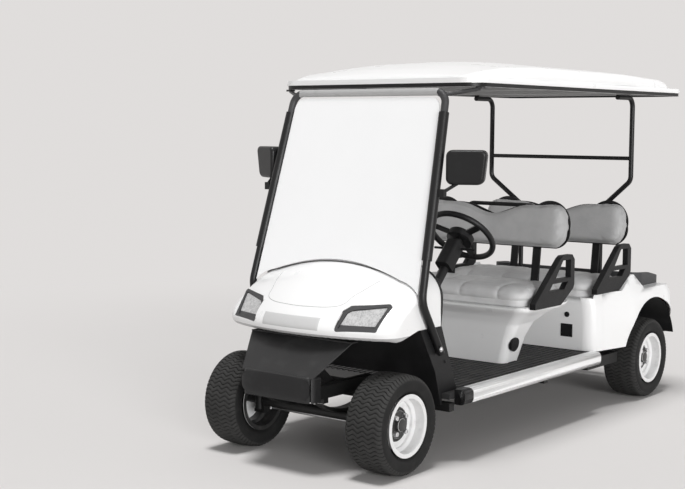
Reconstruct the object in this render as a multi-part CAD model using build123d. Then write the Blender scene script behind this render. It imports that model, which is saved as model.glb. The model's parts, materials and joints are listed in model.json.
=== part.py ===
from build123d import *
import math
import os

os.makedirs("parts", exist_ok=True)

# Electric four-seat shuttle cart, millimetres, +Z up.
# The front faces -Y, the driver's side is +X, and the origin is on the floor under the middle.

# Driving dimensions of the whole vehicle
wheelbase = 2320.0
front_overhang = 300.0
rear_overhang = 480.0
front_track = 860.0
rear_track = 995.0
overall_length = front_overhang + wheelbase + rear_overhang
front_axle_y = front_overhang - overall_length / 2
rear_axle_y = front_axle_y + wheelbase

# Clearances shared by pieces that seat on each other
seat_gap = 0.3
running_gap = 0.5
cut_overrun = 20.0

# Tyre and rim
tyre_diameter = 459.0
tyre_width = 205.0
tread_width = 168.0
tread_crown = 5.0
bead_radius = 128.0
bead_width = 138.0
shoulder_drop = 26.0
flange_radius = 143.2
flange_thickness = 4.0
rim_width = 190.0
barrel_wall = 4.0
drop_radius = 112.0
drop_width = 62.0
drop_shift = 8.0
disc_offset = 26.0
disc_thickness = 6.0
hub_radius = 62.0
hub_height = 16.0
hub_cap_radius = 30.0
hub_cap_height = 34.0
lug_circle_diameter = 101.6
lug_count = 4
lug_radius = 9.5
lug_height = 20.0
wheel_z = tyre_diameter / 2

# Chassis
rail_x = 160.0
rail_width = 50.0
rail_height = 58.0
rail_front_z = 335.0
rail_rear_z = 365.0
rail_drop_start = 200.0
rail_drop_end = 308.0
rail_rise_start = wheelbase - 260.0
rail_rise_end = wheelbase - 145.0
rail_rear_tip = wheelbase + 320.0
cross_size = 40.0
rear_bar_height = 90.0
rear_bar_half = 430.0
rear_bar_depth = 45.0
tray_rail_rear = wheelbase - 310.0

# Floor and sills
body_front = wheelbase - 580.0
floor_front = 310.0
floor_rear = body_front - 5.0
floor_half = 535.0
floor_top_z = 326.0
floor_thickness = 26.0
rail_low_z = floor_top_z - floor_thickness - seat_gap - rail_height
rib_height = 4.0
rib_width = 12.0
rib_pitch = 36.0
sill_width = 58.0
sill_height = 72.0
sill_top_z = 344.0
sill_radius = 24.0
sill_front = 350.0
sill_rear = body_front - 40.0

# Front cowl
cowl_rear = 300.0
cowl_base_z = 600.0
cowl_wall = 5.0
cowl_side_start = -30.0
cowl_side_end = 118.0
cowl_half = 490.0
cowl_length = 500.0
cowl_height = 345.0

# Headlamps, in the plane of the cowl's face
lamp_x = 333.0
lamp_y = -90.0
lamp_z = 703.0
lamp_bezel = 14.0
lamp_radius = 12.0
lamp_depth = 26.0
lamp_proud = 5.0
lamp_yaw = 19.0
lamp_lean = 38.0

# Front valance and moulded bumper
valance_wall = 5.0
valance_top_z = 596.0
valance_top_y = -120.0
valance_top_half = 300.0
bumper_half = 208.0
bumper_top_z = 450.0
bumper_low_z = 332.0
bumper_depth = 72.0
bumper_radius = 40.0
rail_front_tip = 2 * valance_wall + seat_gap - front_overhang

# Footwell shell below the cowl
footwell_half = 494.0
footwell_wall = 6.0
footwell_top_z = 640.0
footwell_front_top = 128.0
footwell_rear_top = 300.0
footwell_knee = 250.0
footwell_knee_z = 433.0
footwell_low_front = 300.0
footwell_low_rear = 455.0
footwell_low_z = 270.0
cowl_side_lift = footwell_top_z + seat_gap - cowl_base_z

# Dashboard
dash_depth = 52.0
dash_low_z = 650.0
dash_top_z = 918.0
dash_half = 452.0
dash_crown = 70.0
pocket_width = 240.0
pocket_height = 110.0
pocket_depth = 40.0
pocket_z = 765.0
pocket_x = 270.0
dash_radius = 12.0

# Windscreen hoop: pillars, top bar, sleeves and screen
pillar_radius = 18.0
sleeve_radius = 24.0
pillar_foot_x = footwell_half + pillar_radius + seat_gap
pillar_foot_y = 268.0
pillar_foot_z = 520.0
pillar_knee_y = 110.0
pillar_knee_z = 770.0
pillar_top_x = 455.0
pillar_top_y = 372.0
pillar_top_z = 1716.0
pillar_bend = 60.0
pillar_knee_bend = 110.0
sleeve_low_z = 955.0
sleeve_high_z = 1620.0
screen_thickness = 5.0
screen_low_z = 800.0
screen_lift = 8.0
screen_high_z = 1690.0

# Roof
roof_front = 410.0
roof_rear = wheelbase + 370.0
roof_half = 595.0
roof_edge_z = 1758.0
roof_flange = 24.0
roof_corner = 100.0
roof_wall = 5.0
roof_top_z = 1890.0
dome_front = 430.0
dome_rear = roof_rear - 105.0
dome_half = 575.0
frame_show = 18.0
frame_width = 32.0
frame_inset = roof_wall + seat_gap
frame_height = roof_flange - roof_wall - seat_gap + frame_show
frame_cross = 30.0

# Rear roof struts
strut_radius = 14.0
strut_x = 468.0
strut_y = wheelbase - 58.0
strut_knee_z = 1252.0
strut_low_x = 268.0
strut_low_z = 1085.0
strut_low_y = strut_y + 32.0
strut_foot_run = 190.0
strut_bend = 55.0
strut_bar_z = 1380.0

# Mirrors
mirror_x = 600.0
mirror_y = 330.0
mirror_z = 1372.0
mirror_width = 190.0
mirror_height = 158.0
mirror_depth = 52.0
mirror_radius = 30.0
mirror_toe = 24.0
mirror_arm_radius = 8.0
mirror_foot_z = 1262.0
mirror_glass_depth = 4.0
mirror_rim = 12.0

# Steering column and wheel
steer_x = 246.0
steer_y = 835.0
steer_z = 1012.0
steer_angle = 46.0
steer_diameter = 366.0
steer_rim_radius = 15.0
steer_hub_radius = 66.0
steer_hub_height = 34.0
spoke_width = 34.0
spoke_thickness = 10.0
spoke_count = 3
column_radius = 22.0
column_length = 900.0
column_shaft_radius = 9.0
shroud_width = 78.0
shroud_height = 84.0
shroud_length = 150.0
shroud_drop = 30.0
stalk_radius = 6.0
stalk_length = 120.0

# Pedals
pedal_width = 78.0
pedal_height = 105.0
pedal_thickness = 10.0
pedal_y = 425.0
pedal_z = 395.0
pedal_arm = 9.0

# Front seat
podium_base_z = floor_top_z + rib_height
podium_top_z = 640.0
podium_half = 500.0
podium_front = 1035.0
podium_depth = 505.0
podium_wall = 5.0
cushion_height = 98.0
cushion_corner = 95.0
cushion_inset = 8.0
cushion_edge = 26.0

# Backrests, the same pad in both rows
back_half = 478.0
back_low_z = 905.0
back_height = 252.0
back_dip = 38.0
back_thickness = 75.0
back_corner = 78.0
back_lean = 7.0
back_front_y = 1458.0
back_shell_wall = 8.0
back_shell_inset = 10.0
post_x = 272.0
post_width = 46.0
post_depth = 14.0
grab_radius = 11.0
grab_half = 210.0
grab_rise = 84.0
grab_reach = 46.0

# Armrests
arm_front_y = 1084.0
arm_foot_y = 1350.0
arm_rear_y = 1490.0
arm_foot_top_z = 662.0
arm_knee_y = 1480.0
arm_knee_rise = 77.0
arm_base_z = 632.0
arm_top_z = 890.0
arm_x = podium_half
arm_width = 34.0
arm_bar = 40.0
arm_web = 20.0
arm_brow = 26.0
arm_hole_z = 770.0
arm_hole_front_y = 1286.0
arm_slot_front_y = 1222.0
arm_slot_low_z = 712.0
rear_arm_lift = 12.0

# Rear body
body_rear = wheelbase + 388.0
body_half = 598.0
body_low_z = 330.0
body_seat_z = 622.0
body_shoulder_z = 722.0
body_wall = 5.0
body_corner = 130.0
body_flare = 344.0
fender_z = body_shoulder_z - arm_knee_rise
seat_pocket_half = 496.0
shelf_z = 636.0
shelf_front = wheelbase - 55.0
shelf_rear = body_rear - 130.0
tail_edge_z = 560.0
arch_radius = 336.0
arch_shift = 32.0
arch_lift = 14.0
liner_wall = 4.0
liner_inner_x = 372.0
liner_outer_x = 580.0
flap_low_z = 335.0

# Rear seat
rear_seat_shift = wheelbase - 1630.0
rear_seat_drop = 26.0
rear_arm_shift = rear_seat_shift - 24.0

# Bag deck
deck_front = wheelbase - 6.0
deck_rear = body_rear - 50.0
deck_half = 492.0
deck_low_z = 592.0
deck_wall = 6.0
deck_rim = 24.0
deck_corner = 84.0
deck_front_z = 718.0
deck_middle_z = 706.0
deck_rear_z = 664.0

# Lamps and ports
tail_height = 110.0
tail_width = 62.0
tail_depth = 22.0
tail_x = 470.0
tail_z = 500.0
plug_radius = 37.0
plug_depth = 18.0
plug_x = 370.0
plug_y = 1158.0
plug_z = 432.0
plug_tilt = 100.0
plug_turn = 8.0
socket_size = 72.0
socket_x = 358.0
socket_z = 436.0
key_hole_radius = 15.0
key_hole_z = 524.0

# Front axle and steering linkage
kingpin_inset = 70.0
kingpin_x = front_track / 2 - kingpin_inset
kingpin_radius = 10.0
beam_radius = 24.0
yoke_gap = 84.0
yoke_ear = 14.0
yoke_width = 64.0
yoke_depth = 40.0
yoke_web = 14.0
knuckle_radius = 24.0
spindle_radius = 17.0
arm_length = 80.0
arm_height = 14.0
link_arm_width = 24.0
link_radius = 8.0
link_eye_radius = 15.0
link_pin_radius = 6.0
leaf_width = 48.0
leaf_stack = 20.0
leaf_half_span = 180.0
leaf_rise = 54.0
hanger_width = 34.0

# Rear axle, motor and battery
rear_beam_radius = 34.0
diff_radius = 92.0
diff_width = 130.0
motor_radius = 84.0
motor_length = 240.0
motor_shift = 150.0
rear_leaf_x = 250.0
rear_leaf_half_span = 250.0
battery_half = 335.0
battery_front = body_front + 50.0
battery_rear = wheelbase - 275.0
battery_height = 245.0


def y_at(distance):
    """Return the Y of a station given as its distance behind the front axle."""
    return front_axle_y + distance


def slab(x_low, x_high, y_low, y_high, z_low, z_high):
    """Return a box between two corners, its Y values measured from the front axle."""
    size = (x_high - x_low, y_high - y_low, z_high - z_low)
    centre = ((x_low + x_high) / 2, y_at((y_low + y_high) / 2), (z_low + z_high) / 2)
    return Pos(*centre) * Box(*size)


def mirrored(shape):
    """Return the shape on the vehicle's other side."""
    return mirror(shape, about=Plane.YZ)


def pair(shape):
    """Return a shape and its mirror image as one compound of separate solids."""
    return Compound(children=list(shape.solids()) + list(mirrored(shape).solids()))


def side_prism(points, x_low, x_high):
    """Return a prism across X from (y, z) points, its Y values from the front axle."""
    outline = [Vector(x_low, y_at(y), z) for y, z in points]
    face = Face(Wire.make_polygon(outline, close=True))
    return extrude(face, amount=x_high - x_low, dir=(1, 0, 0))


def bar(start, end, radius):
    """Return a round bar between two points, its Y values from the front axle."""
    first = Vector(start[0], y_at(start[1]), start[2])
    last = Vector(end[0], y_at(end[1]), end[2])
    run = last - first
    return Plane(origin=first, z_dir=run) * Cylinder(
        radius, run.length, align=(Align.CENTER, Align.CENTER, Align.MIN)
    )


def bent_tube(points, radius, bends):
    """Return a round tube along straight runs with arcs at the corners."""
    return tube_along([Vector(x, y_at(y), z) for x, y, z in points], radius, bends)


def tube_along(route, radius, bends):
    """Return a round tube along straight runs between vectors with arcs at the corners."""
    path = FilletPolyline(*route, radius=bends)
    section = Plane(origin=path @ 0, z_dir=path % 0) * Circle(radius)
    return sweep(section, path=path)


def ring_about_x(outline):
    """Return a solid turned about the X axis from (x, radius) points joined by lines."""
    face = make_face(Polyline(*[(x, r) for x, r in outline], close=True))
    return revolve(face, Axis.X)


def save(name, shape):
    """Write one sub-part."""
    export_step(shape, f"parts/{name}.step")


# Wheels


def make_tyre():
    """Return a tyre round the X axis, outboard side towards +X."""
    outer = tyre_diameter / 2
    half_tread = tread_width / 2
    half_width = tyre_width / 2
    half_bead = bead_width / 2
    shoulder = outer - shoulder_drop
    bulge_radius = (shoulder + bead_radius) / 2
    tread = ThreePointArc((-half_tread, outer - tread_crown), (0, outer), (half_tread, outer - tread_crown))
    turn_x = (half_tread + half_width) / 2
    turn_r = outer - tread_crown - shoulder_drop / 4
    right_turn = ThreePointArc(tread @ 1, (turn_x, turn_r), (half_width - tread_crown, shoulder))
    right_wall = ThreePointArc(right_turn @ 1, (half_width, bulge_radius), (half_bead, bead_radius))
    bead = Line(right_wall @ 1, (-half_bead, bead_radius))
    left_wall = ThreePointArc(bead @ 1, (-half_width, bulge_radius), (-half_width + tread_crown, shoulder))
    left_turn = ThreePointArc(left_wall @ 1, (-turn_x, turn_r), tread @ 0)
    face = make_face([tread, right_turn, right_wall, bead, left_wall, left_turn])
    return revolve(face, Axis.X)


def make_rim():
    """Return a deep dished steel rim with its disc, hub, cap and lug nuts, outboard towards +X."""
    half = rim_width / 2
    half_drop = drop_width / 2
    seat = bead_radius - seat_gap
    ramp = (seat - drop_radius) / 2
    drop_centre = drop_shift
    outline = [
        (half, flange_radius),
        (half, seat - barrel_wall),
        (drop_centre + half_drop + ramp, seat - barrel_wall),
        (drop_centre + half_drop, drop_radius - barrel_wall),
        (drop_centre - half_drop, drop_radius - barrel_wall),
        (drop_centre - half_drop - ramp, seat - barrel_wall),
        (-half, seat - barrel_wall),
        (-half, flange_radius),
        (-half + flange_thickness, flange_radius),
        (-half + flange_thickness, seat),
        (drop_centre - half_drop - ramp, seat),
        (drop_centre - half_drop, drop_radius),
        (drop_centre + half_drop, drop_radius),
        (drop_centre + half_drop + ramp, seat),
        (half - flange_thickness, seat),
        (half - flange_thickness, flange_radius),
    ]
    rim = ring_about_x(outline)
    disc_back = disc_offset - disc_thickness
    disc = Pos(disc_back + disc_thickness / 2, 0, 0) * Rot(0, 90, 0) * Cylinder(
        drop_radius - barrel_wall / 2, disc_thickness
    )
    hub = Pos(disc_offset + hub_height / 2, 0, 0) * Rot(0, 90, 0) * Cylinder(hub_radius, hub_height)
    cap = Pos(disc_offset + hub_cap_height / 2, 0, 0) * Rot(0, 90, 0) * Cylinder(hub_cap_radius, hub_cap_height)
    bore = Rot(0, 90, 0) * Cylinder(spindle_radius + running_gap / 10, rim_width)
    bore_end = disc_offset + hub_height / 2
    bore = Pos(bore_end - rim_width / 2, 0, 0) * bore
    rim = rim + disc + hub + cap - bore
    for index in range(lug_count):
        turn = Rot(360.0 / lug_count * (index + 0.5), 0, 0)
        lug = Rot(0, 90, 0) * Cylinder(lug_radius, lug_height)
        lug = Pos(disc_offset + hub_height + lug_height / 2, 0, lug_circle_diameter / 2) * lug
        rim = rim + turn * lug
    return rim


def place_wheel(shape, track, axle_y, side):
    """Return a wheel piece at its hub, side is 1 on the driver's side and -1 on the other."""
    if side < 0:
        shape = mirrored(shape)
    return Pos(side * track / 2, axle_y, wheel_z) * shape


def make_wheels():
    """Write the four tyres and rims."""
    corners = [
        ("front_left", front_track, front_axle_y, 1),
        ("front_right", front_track, front_axle_y, -1),
        ("rear_left", rear_track, rear_axle_y, 1),
        ("rear_right", rear_track, rear_axle_y, -1),
    ]
    tyre = make_tyre()
    rim = make_rim()
    for name, track, axle_y, side in corners:
        save(f"tyre_{name}", place_wheel(tyre, track, axle_y, side))
        save(f"rim_{name}", place_wheel(rim, track, axle_y, side))


# Chassis, floor and sills


def make_chassis():
    """Return the welded frame: two cranked rails, cross members, outriggers and the rear bar."""
    lower_edge = [
        (rail_front_tip, rail_front_z),
        (rail_drop_start, rail_front_z),
        (rail_drop_end, rail_low_z),
        (rail_rise_start, rail_low_z),
        (rail_rise_end, rail_rear_z),
        (rail_rear_tip, rail_rear_z),
    ]
    upper_edge = [(y, z + rail_height) for y, z in reversed(lower_edge)]
    inner = rail_x - rail_width / 2
    outer = rail_x + rail_width / 2
    rail = side_prism(lower_edge + upper_edge, inner, outer)
    frame = rail + mirrored(rail)
    outrigger_half = floor_half
    cross_members = [
        (rail_front_tip, rail_front_z, outer),
        (floor_front, rail_low_z, outrigger_half),
        ((rail_drop_end + rail_rise_start) / 2, rail_low_z, outrigger_half),
        (floor_rear - 2 * cross_size, rail_low_z, outrigger_half),
        (rail_rear_tip - cross_size, rail_rear_z, outer),
    ]
    for y, z, half in cross_members:
        frame = frame + slab(-half, half, y, y + cross_size, z, z + cross_size)
    tray_rail = slab(
        floor_half - rail_width, floor_half, floor_rear - 2 * cross_size, tray_rail_rear, rail_low_z, rail_low_z + rail_height
    )
    frame = frame + tray_rail + mirrored(tray_rail)
    front_seat_z = spring_end_z(beam_radius) + seat_gap
    for y in (-leaf_half_span, leaf_half_span):
        front = y - hanger_width / 2 + (hanger_width / 2 if y < 0 else -hanger_width / 2)
        hanger = slab(inner, outer, front, front + hanger_width, front_seat_z, rail_front_z + rail_height / 2)
        frame = frame + hanger + mirrored(hanger)
    rear_seat_z = spring_end_z(rear_beam_radius) + seat_gap
    rear_half = rear_leaf_x + leaf_width / 2
    for y in (wheelbase - rear_leaf_half_span, wheelbase + rear_leaf_half_span):
        frame = frame + slab(
            -rear_half, rear_half, y - hanger_width / 2, y + hanger_width / 2, rear_seat_z, rail_rear_z + rail_height
        )
    bar_rear = overall_length - front_overhang
    bar_front = bar_rear - rear_bar_depth
    bar_z = rail_rear_z + rail_height / 2
    rear_bar = slab(
        -rear_bar_half, rear_bar_half, bar_front, bar_rear, bar_z - rear_bar_height / 2, bar_z + rear_bar_height / 2
    )
    arm = slab(inner, outer, rail_rear_tip - cross_size, bar_front + cut_overrun, rail_rear_z, rail_rear_z + rail_height)
    return frame + rear_bar + arm + mirrored(arm)


def spring_end_z(axle_radius):
    """Return the height of a leaf pack's upper face at its ends, above an axle of this radius."""
    return wheel_z + axle_radius - leaf_stack / 4 + leaf_rise + leaf_stack / 2


def make_floor():
    """Return the ribbed floor panel."""
    floor = slab(-floor_half, floor_half, floor_front, floor_rear, floor_top_z - floor_thickness, floor_top_z)
    rib_count = int((floor_half - rib_width) // rib_pitch)
    rib_front = floor_low_edge()
    for index in range(-rib_count, rib_count + 1):
        centre = index * rib_pitch
        floor = floor + slab(
            centre - rib_width / 2, centre + rib_width / 2, rib_front, floor_rear - rib_width,
            floor_top_z, floor_top_z + rib_height,
        )
    return floor


def floor_low_edge():
    """Return where the flat floor starts behind the toe board."""
    return footwell_low_rear + rib_width


def make_sills():
    """Return the two rounded sill rails."""
    x_low = floor_half + seat_gap
    sill = slab(x_low, x_low + sill_width, sill_front, sill_rear, sill_top_z - sill_height, sill_top_z)
    outer_edges = sill.edges().filter_by(Axis.Y).sort_by(Axis.X)[-2:]
    sill = fillet(outer_edges, sill_radius)
    return pair(sill)


# Cowl, lamps, valance, footwell and dashboard

# Plan sections of the cowl as shares: height of the section over cowl_height,
# then front, corner and side places over cowl_length and cowl_half, from the rear edge forwards.
cowl_shares = [
    # height, front, corner_x, corner_front, side_x, side_front
    (0.000, 0.936, 0.786, 0.776, 0.985, 0.560),
    (0.160, 1.000, 0.865, 0.822, 1.000, 0.640),
    (0.435, 0.860, 0.865, 0.630, 1.000, 0.420),
    (0.600, 0.715, 0.820, 0.470, 0.985, 0.230),
    (0.780, 0.500, 0.720, 0.260, 0.900, 0.060),
    (0.920, 0.300, 0.560, 0.130, 0.720, 0.020),
    (1.000, 0.150, 0.380, 0.070, 0.500, 0.012),
]


def cowl_section(shares, inset):
    """Return one closed plan outline of the cowl, drawn in by inset."""
    height, front, corner_x, corner_front, side_x, side_front = shares
    z = cowl_base_z + height * cowl_height - inset
    rear_y = y_at(cowl_rear) + cut_overrun * (1 if inset else 0)
    front_y = y_at(cowl_rear) - front * cowl_length + inset
    corner_y = y_at(cowl_rear) - corner_front * cowl_length + inset
    side_y = y_at(cowl_rear) - side_front * cowl_length
    corner = corner_x * cowl_half - inset
    side = side_x * cowl_half - inset
    bulge_x = corner + (side - corner) * 0.72
    bulge_y = corner_y + (side_y - corner_y) * 0.40
    face_arc = ThreePointArc((-corner, corner_y, z), (0, front_y, z), (corner, corner_y, z))
    right_arc = ThreePointArc((corner, corner_y, z), (bulge_x, bulge_y, z), (side, side_y, z))
    left_arc = ThreePointArc((-side, side_y, z), (-bulge_x, bulge_y, z), (-corner, corner_y, z))
    right_side = Line((side, side_y, z), (side, rear_y, z))
    rear = Line((side, rear_y, z), (-side, rear_y, z))
    left_side = Line((-side, rear_y, z), (-side, side_y, z))
    return make_face([face_arc, right_arc, right_side, rear, left_side, left_arc])


def lamp_plane():
    """Return the plane of the driver's side headlamp's face."""
    yaw = math.radians(lamp_yaw)
    lean = math.radians(lamp_lean)
    outward = (math.sin(yaw) * math.cos(lean), -math.cos(yaw) * math.cos(lean), math.sin(lean))
    return Plane(origin=(lamp_x, y_at(lamp_y), lamp_z), x_dir=(math.cos(yaw), math.sin(yaw), 0), z_dir=outward)


# Corners of the lamp in its own plane, and the way each one moves when the outline is drawn in.
lamp_corners = [
    # across, up, across_in, up_in
    (-122.0, -76.0, 1.10, 1.00),
    (78.0, -72.0, -1.30, 1.00),
    (128.0, 82.0, -1.40, -1.30),
    (-62.0, 60.0, 0.50, -1.60),
    (-96.0, 32.0, 1.40, -0.70),
]


def lamp_outline(inset):
    """Return the slanted lamp outline as a face in its own plane."""
    points = [(x + step_x * inset, y + step_y * inset) for x, y, step_x, step_y in lamp_corners]
    face = make_face(Polyline(*points, close=True))
    return fillet(face.vertices(), max(lamp_radius - inset / 2, lamp_radius / 3))


def lamp_prism(inset, low, high):
    """Return the lamp outline as a prism between two depths along the lamp's axis."""
    solid = extrude(lamp_outline(inset), amount=high - low)
    return lamp_plane() * Pos(0, 0, low) * solid


def make_cowl():
    """Return the hollow moulded cowl with its two lamp openings."""
    outer = loft([cowl_section(row, 0) for row in cowl_shares])
    inner = loft([cowl_section(row, cowl_wall) for row in cowl_shares])
    cowl = outer - inner
    floor_cut = slab(
        -cowl_half * 2, cowl_half * 2, -cowl_length, cowl_length, cowl_base_z - cut_overrun * 2, cowl_base_z
    )
    side_cut = side_prism(
        [
            (cowl_side_start, cowl_base_z - cut_overrun),
            (cowl_side_start, cowl_base_z),
            (cowl_side_end, cowl_base_z + cowl_side_lift),
            (cowl_rear + cut_overrun, cowl_base_z + cowl_side_lift),
            (cowl_rear + cut_overrun, cowl_base_z - cut_overrun),
        ],
        -cowl_half * 2,
        cowl_half * 2,
    )
    cowl = cowl - floor_cut - side_cut
    lamp_cut = lamp_prism(-seat_gap, -lamp_depth * 4, lamp_depth * 4)
    return cowl - lamp_cut - mirrored(lamp_cut)


def make_bezels():
    """Return the two headlamp frames."""
    ring = lamp_prism(0, -lamp_depth, lamp_proud) - lamp_prism(lamp_bezel, -lamp_depth * 2, lamp_depth)
    return pair(ring)


def make_lenses():
    """Return the two headlamp lenses."""
    return pair(lamp_prism(lamp_bezel + seat_gap, -lamp_depth, 0))


def make_valance():
    """Return the sloping front panel with the moulded bumper below it."""
    front = -front_overhang
    bumper = slab(-bumper_half, bumper_half, front, front + bumper_depth, bumper_low_z, bumper_top_z)
    bumper = fillet(bumper.edges().filter_by(Axis.Z).sort_by(Axis.Y)[:2], bumper_radius)
    bumper = fillet(bumper.faces().sort_by(Axis.Z)[-1].edges(), bumper_radius / 3)
    hollow = slab(
        -bumper_half + valance_wall * 2, bumper_half - valance_wall * 2,
        front + valance_wall * 2, front + bumper_depth + cut_overrun,
        bumper_low_z - cut_overrun, bumper_top_z - valance_wall * 2,
    )
    low_y = front + valance_wall * 2
    slope_points = [
        Vector(-bumper_half, y_at(low_y), bumper_top_z - valance_wall),
        Vector(bumper_half, y_at(low_y), bumper_top_z - valance_wall),
        Vector(valance_top_half, y_at(valance_top_y), valance_top_z),
        Vector(-valance_top_half, y_at(valance_top_y), valance_top_z),
    ]
    slope_face = Face(Wire.make_polygon(slope_points, close=True))
    slope = extrude(slope_face, amount=valance_wall, dir=(0, 0, -1))
    flange = slab(
        -valance_top_half, valance_top_half, valance_top_y - valance_wall, valance_top_y + cross_size,
        valance_top_z - valance_wall, valance_top_z,
    )
    return bumper - hollow + slope + flange


def footwell_outline(inset):
    """Return the footwell's side outline, drawn in by inset at the front."""
    past = cut_overrun if inset else 0
    upper_slope = (footwell_knee - footwell_front_top) / (footwell_top_z - footwell_knee_z)
    lower_slope = (footwell_low_front - footwell_knee) / (footwell_knee_z - footwell_low_z)
    return [
        (footwell_front_top + inset - upper_slope * past, footwell_top_z + past),
        (footwell_rear_top + 3 * past, footwell_top_z + past),
        (footwell_low_rear + 3 * past, footwell_low_z - past),
        (footwell_low_front + inset + lower_slope * past, footwell_low_z - past),
        (footwell_knee + inset, footwell_knee_z),
    ]


def make_footwell():
    """Return the black footwell shell: two side panels and the toe board."""
    shell = side_prism(footwell_outline(0), -footwell_half, footwell_half)
    inner_half = footwell_half - footwell_wall
    hollow = side_prism(footwell_outline(footwell_wall), -inner_half, inner_half)
    floor_notch = slab(
        -floor_half - seat_gap, floor_half + seat_gap, floor_front - seat_gap, footwell_low_rear + cut_overrun,
        footwell_low_z - cut_overrun, floor_top_z + seat_gap,
    )
    rail_half = rail_x + rail_width / 2 + seat_gap
    rail_notch = slab(
        -rail_half, rail_half, 0, floor_front, footwell_low_z - cut_overrun, rail_front_z + rail_height + seat_gap
    )
    return shell - hollow - floor_notch - rail_notch


def make_dashboard():
    """Return the dashboard panel with its two pockets."""
    front = cowl_rear + seat_gap
    z_side = dash_top_z - dash_crown
    base = [
        Line((-dash_half, dash_low_z), (dash_half, dash_low_z)),
        Line((dash_half, dash_low_z), (dash_half, z_side)),
        ThreePointArc((dash_half, z_side), (0, dash_top_z), (-dash_half, z_side)),
        Line((-dash_half, z_side), (-dash_half, dash_low_z)),
    ]
    face = Plane(origin=(0, y_at(front), 0), x_dir=(1, 0, 0), z_dir=(0, -1, 0)) * make_face(base)
    panel = extrude(face, amount=dash_depth, dir=(0, 1, 0))
    for x in (-pocket_x, pocket_x):
        pocket = slab(
            x - pocket_width / 2, x + pocket_width / 2,
            front + dash_depth - pocket_depth, front + dash_depth + cut_overrun,
            pocket_z - pocket_height / 2, pocket_z + pocket_height / 2,
        )
        panel = panel - fillet(pocket.edges().filter_by(Axis.Y), dash_radius)
    return panel


# Windscreen hoop


def pillar_line(z):
    """Return (x, y) of the pillar's centre line at a height above its knee."""
    share = (z - pillar_knee_z) / (pillar_top_z - pillar_knee_z)
    x = pillar_foot_x + (pillar_top_x - pillar_foot_x) * share
    y = pillar_knee_y + (pillar_top_y - pillar_knee_y) * share
    return x, y


def make_hoop():
    """Return the bent tube hoop that carries the screen, with its thicker sleeves."""
    points = [
        (pillar_foot_x, pillar_foot_y, pillar_foot_z),
        (pillar_foot_x, pillar_knee_y, pillar_knee_z),
        (pillar_top_x, pillar_top_y, pillar_top_z),
        (-pillar_top_x, pillar_top_y, pillar_top_z),
        (-pillar_foot_x, pillar_knee_y, pillar_knee_z),
        (-pillar_foot_x, pillar_foot_y, pillar_foot_z),
    ]
    hoop = bent_tube(points, pillar_radius, [pillar_knee_bend, pillar_bend, pillar_bend, pillar_knee_bend])
    low_x, low_y = pillar_line(sleeve_low_z)
    high_x, high_y = pillar_line(sleeve_high_z)
    sleeve = bar((low_x, low_y, sleeve_low_z), (high_x, high_y, sleeve_high_z), sleeve_radius)
    foot_high = roof_edge_z - frame_show - seat_gap
    foot_x = roof_half - frame_inset - frame_width / 2
    foot_y = roof_front + 2 * frame_width
    foot = slab(
        foot_x - frame_width / 2, foot_x + frame_width / 2, foot_y - frame_width / 2, foot_y + frame_width / 2,
        foot_high - pillar_radius / 2, foot_high,
    )
    stay = foot + bar(
        (pillar_top_x - pillar_bend / 4, pillar_top_y, pillar_top_z - pillar_bend / 4),
        (foot_x, foot_y, foot_high - pillar_radius / 2),
        pillar_radius / 2,
    )
    stay = stay - roof_plate(frame_inset, foot_high, foot_high + cut_overrun)
    return hoop + sleeve + mirrored(sleeve) + stay + mirrored(stay)


def make_screen():
    """Return the flat clear screen between the pillars."""
    low_x, low_y = pillar_line(screen_low_z)
    high_x, high_y = pillar_line(screen_high_z)
    margin = sleeve_radius + seat_gap
    corners = [
        Vector(-low_x + margin, y_at(low_y), screen_low_z),
        Vector(low_x - margin, y_at(low_y), screen_low_z),
        Vector(high_x - margin, y_at(high_y), screen_high_z),
        Vector(-high_x + margin, y_at(high_y), screen_high_z),
    ]
    screen = extrude(Face(Wire.make_polygon(corners, close=True)), amount=screen_thickness)
    corner_edges = screen.edges().filter_by(lambda edge: edge.length < 2 * screen_thickness).sort_by(Axis.Z)[-2:]
    screen = fillet(corner_edges, pillar_bend)
    hood = loft([cowl_section(row, -screen_lift) for row in cowl_shares])
    return (screen - hood).solids().sort_by(lambda solid: solid.volume)[-1]


# Roof

# Cross sections of the roof dome as shares: place along the dome, half width,
# crown height and shoulder height.
dome_shares = [
    # along, half_width, crown, shoulder
    (0.000, 0.880, 0.120, 0.030),
    (0.018, 0.930, 0.300, 0.140),
    (0.060, 0.970, 0.560, 0.320),
    (0.140, 0.992, 0.820, 0.520),
    (0.280, 1.000, 1.000, 0.640),
    (0.720, 1.000, 0.950, 0.610),
    (0.930, 0.985, 0.760, 0.480),
    (0.975, 0.965, 0.600, 0.380),
    (1.000, 0.940, 0.250, 0.100),
]


def dome_section(shares, inset):
    """Return one cross section of the dome, drawn in by inset."""
    along, half_share, crown_share, shoulder_share = shares
    base_z = roof_edge_z + roof_flange
    rise = roof_top_z - base_z
    length = dome_rear - dome_front - 2 * inset
    y = y_at(dome_front + inset + along * length)
    half = dome_half * half_share - inset
    low = base_z - (inset * 2 + roof_flange if inset else 0)
    shoulder = base_z + rise * shoulder_share - inset / 2
    crown = base_z + rise * crown_share - inset
    shoulder_half = half - (dome_half - half * 0.86) * 0.5
    turn_x = half - (half - shoulder_half) * 0.30
    turn_z = base_z + (shoulder - base_z) * 0.72
    right_turn = ThreePointArc((half, y, base_z), (turn_x, y, turn_z), (shoulder_half, y, shoulder))
    crown_arc = ThreePointArc((shoulder_half, y, shoulder), (0, y, crown), (-shoulder_half, y, shoulder))
    left_turn = ThreePointArc((-shoulder_half, y, shoulder), (-turn_x, y, turn_z), (-half, y, base_z))
    left_wall = Line((-half, y, base_z), (-half, y, low - seat_gap))
    base = Line((-half, y, low - seat_gap), (half, y, low - seat_gap))
    right_wall = Line((half, y, low - seat_gap), (half, y, base_z))
    return make_face([right_turn, crown_arc, left_turn, left_wall, base, right_wall])


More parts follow.
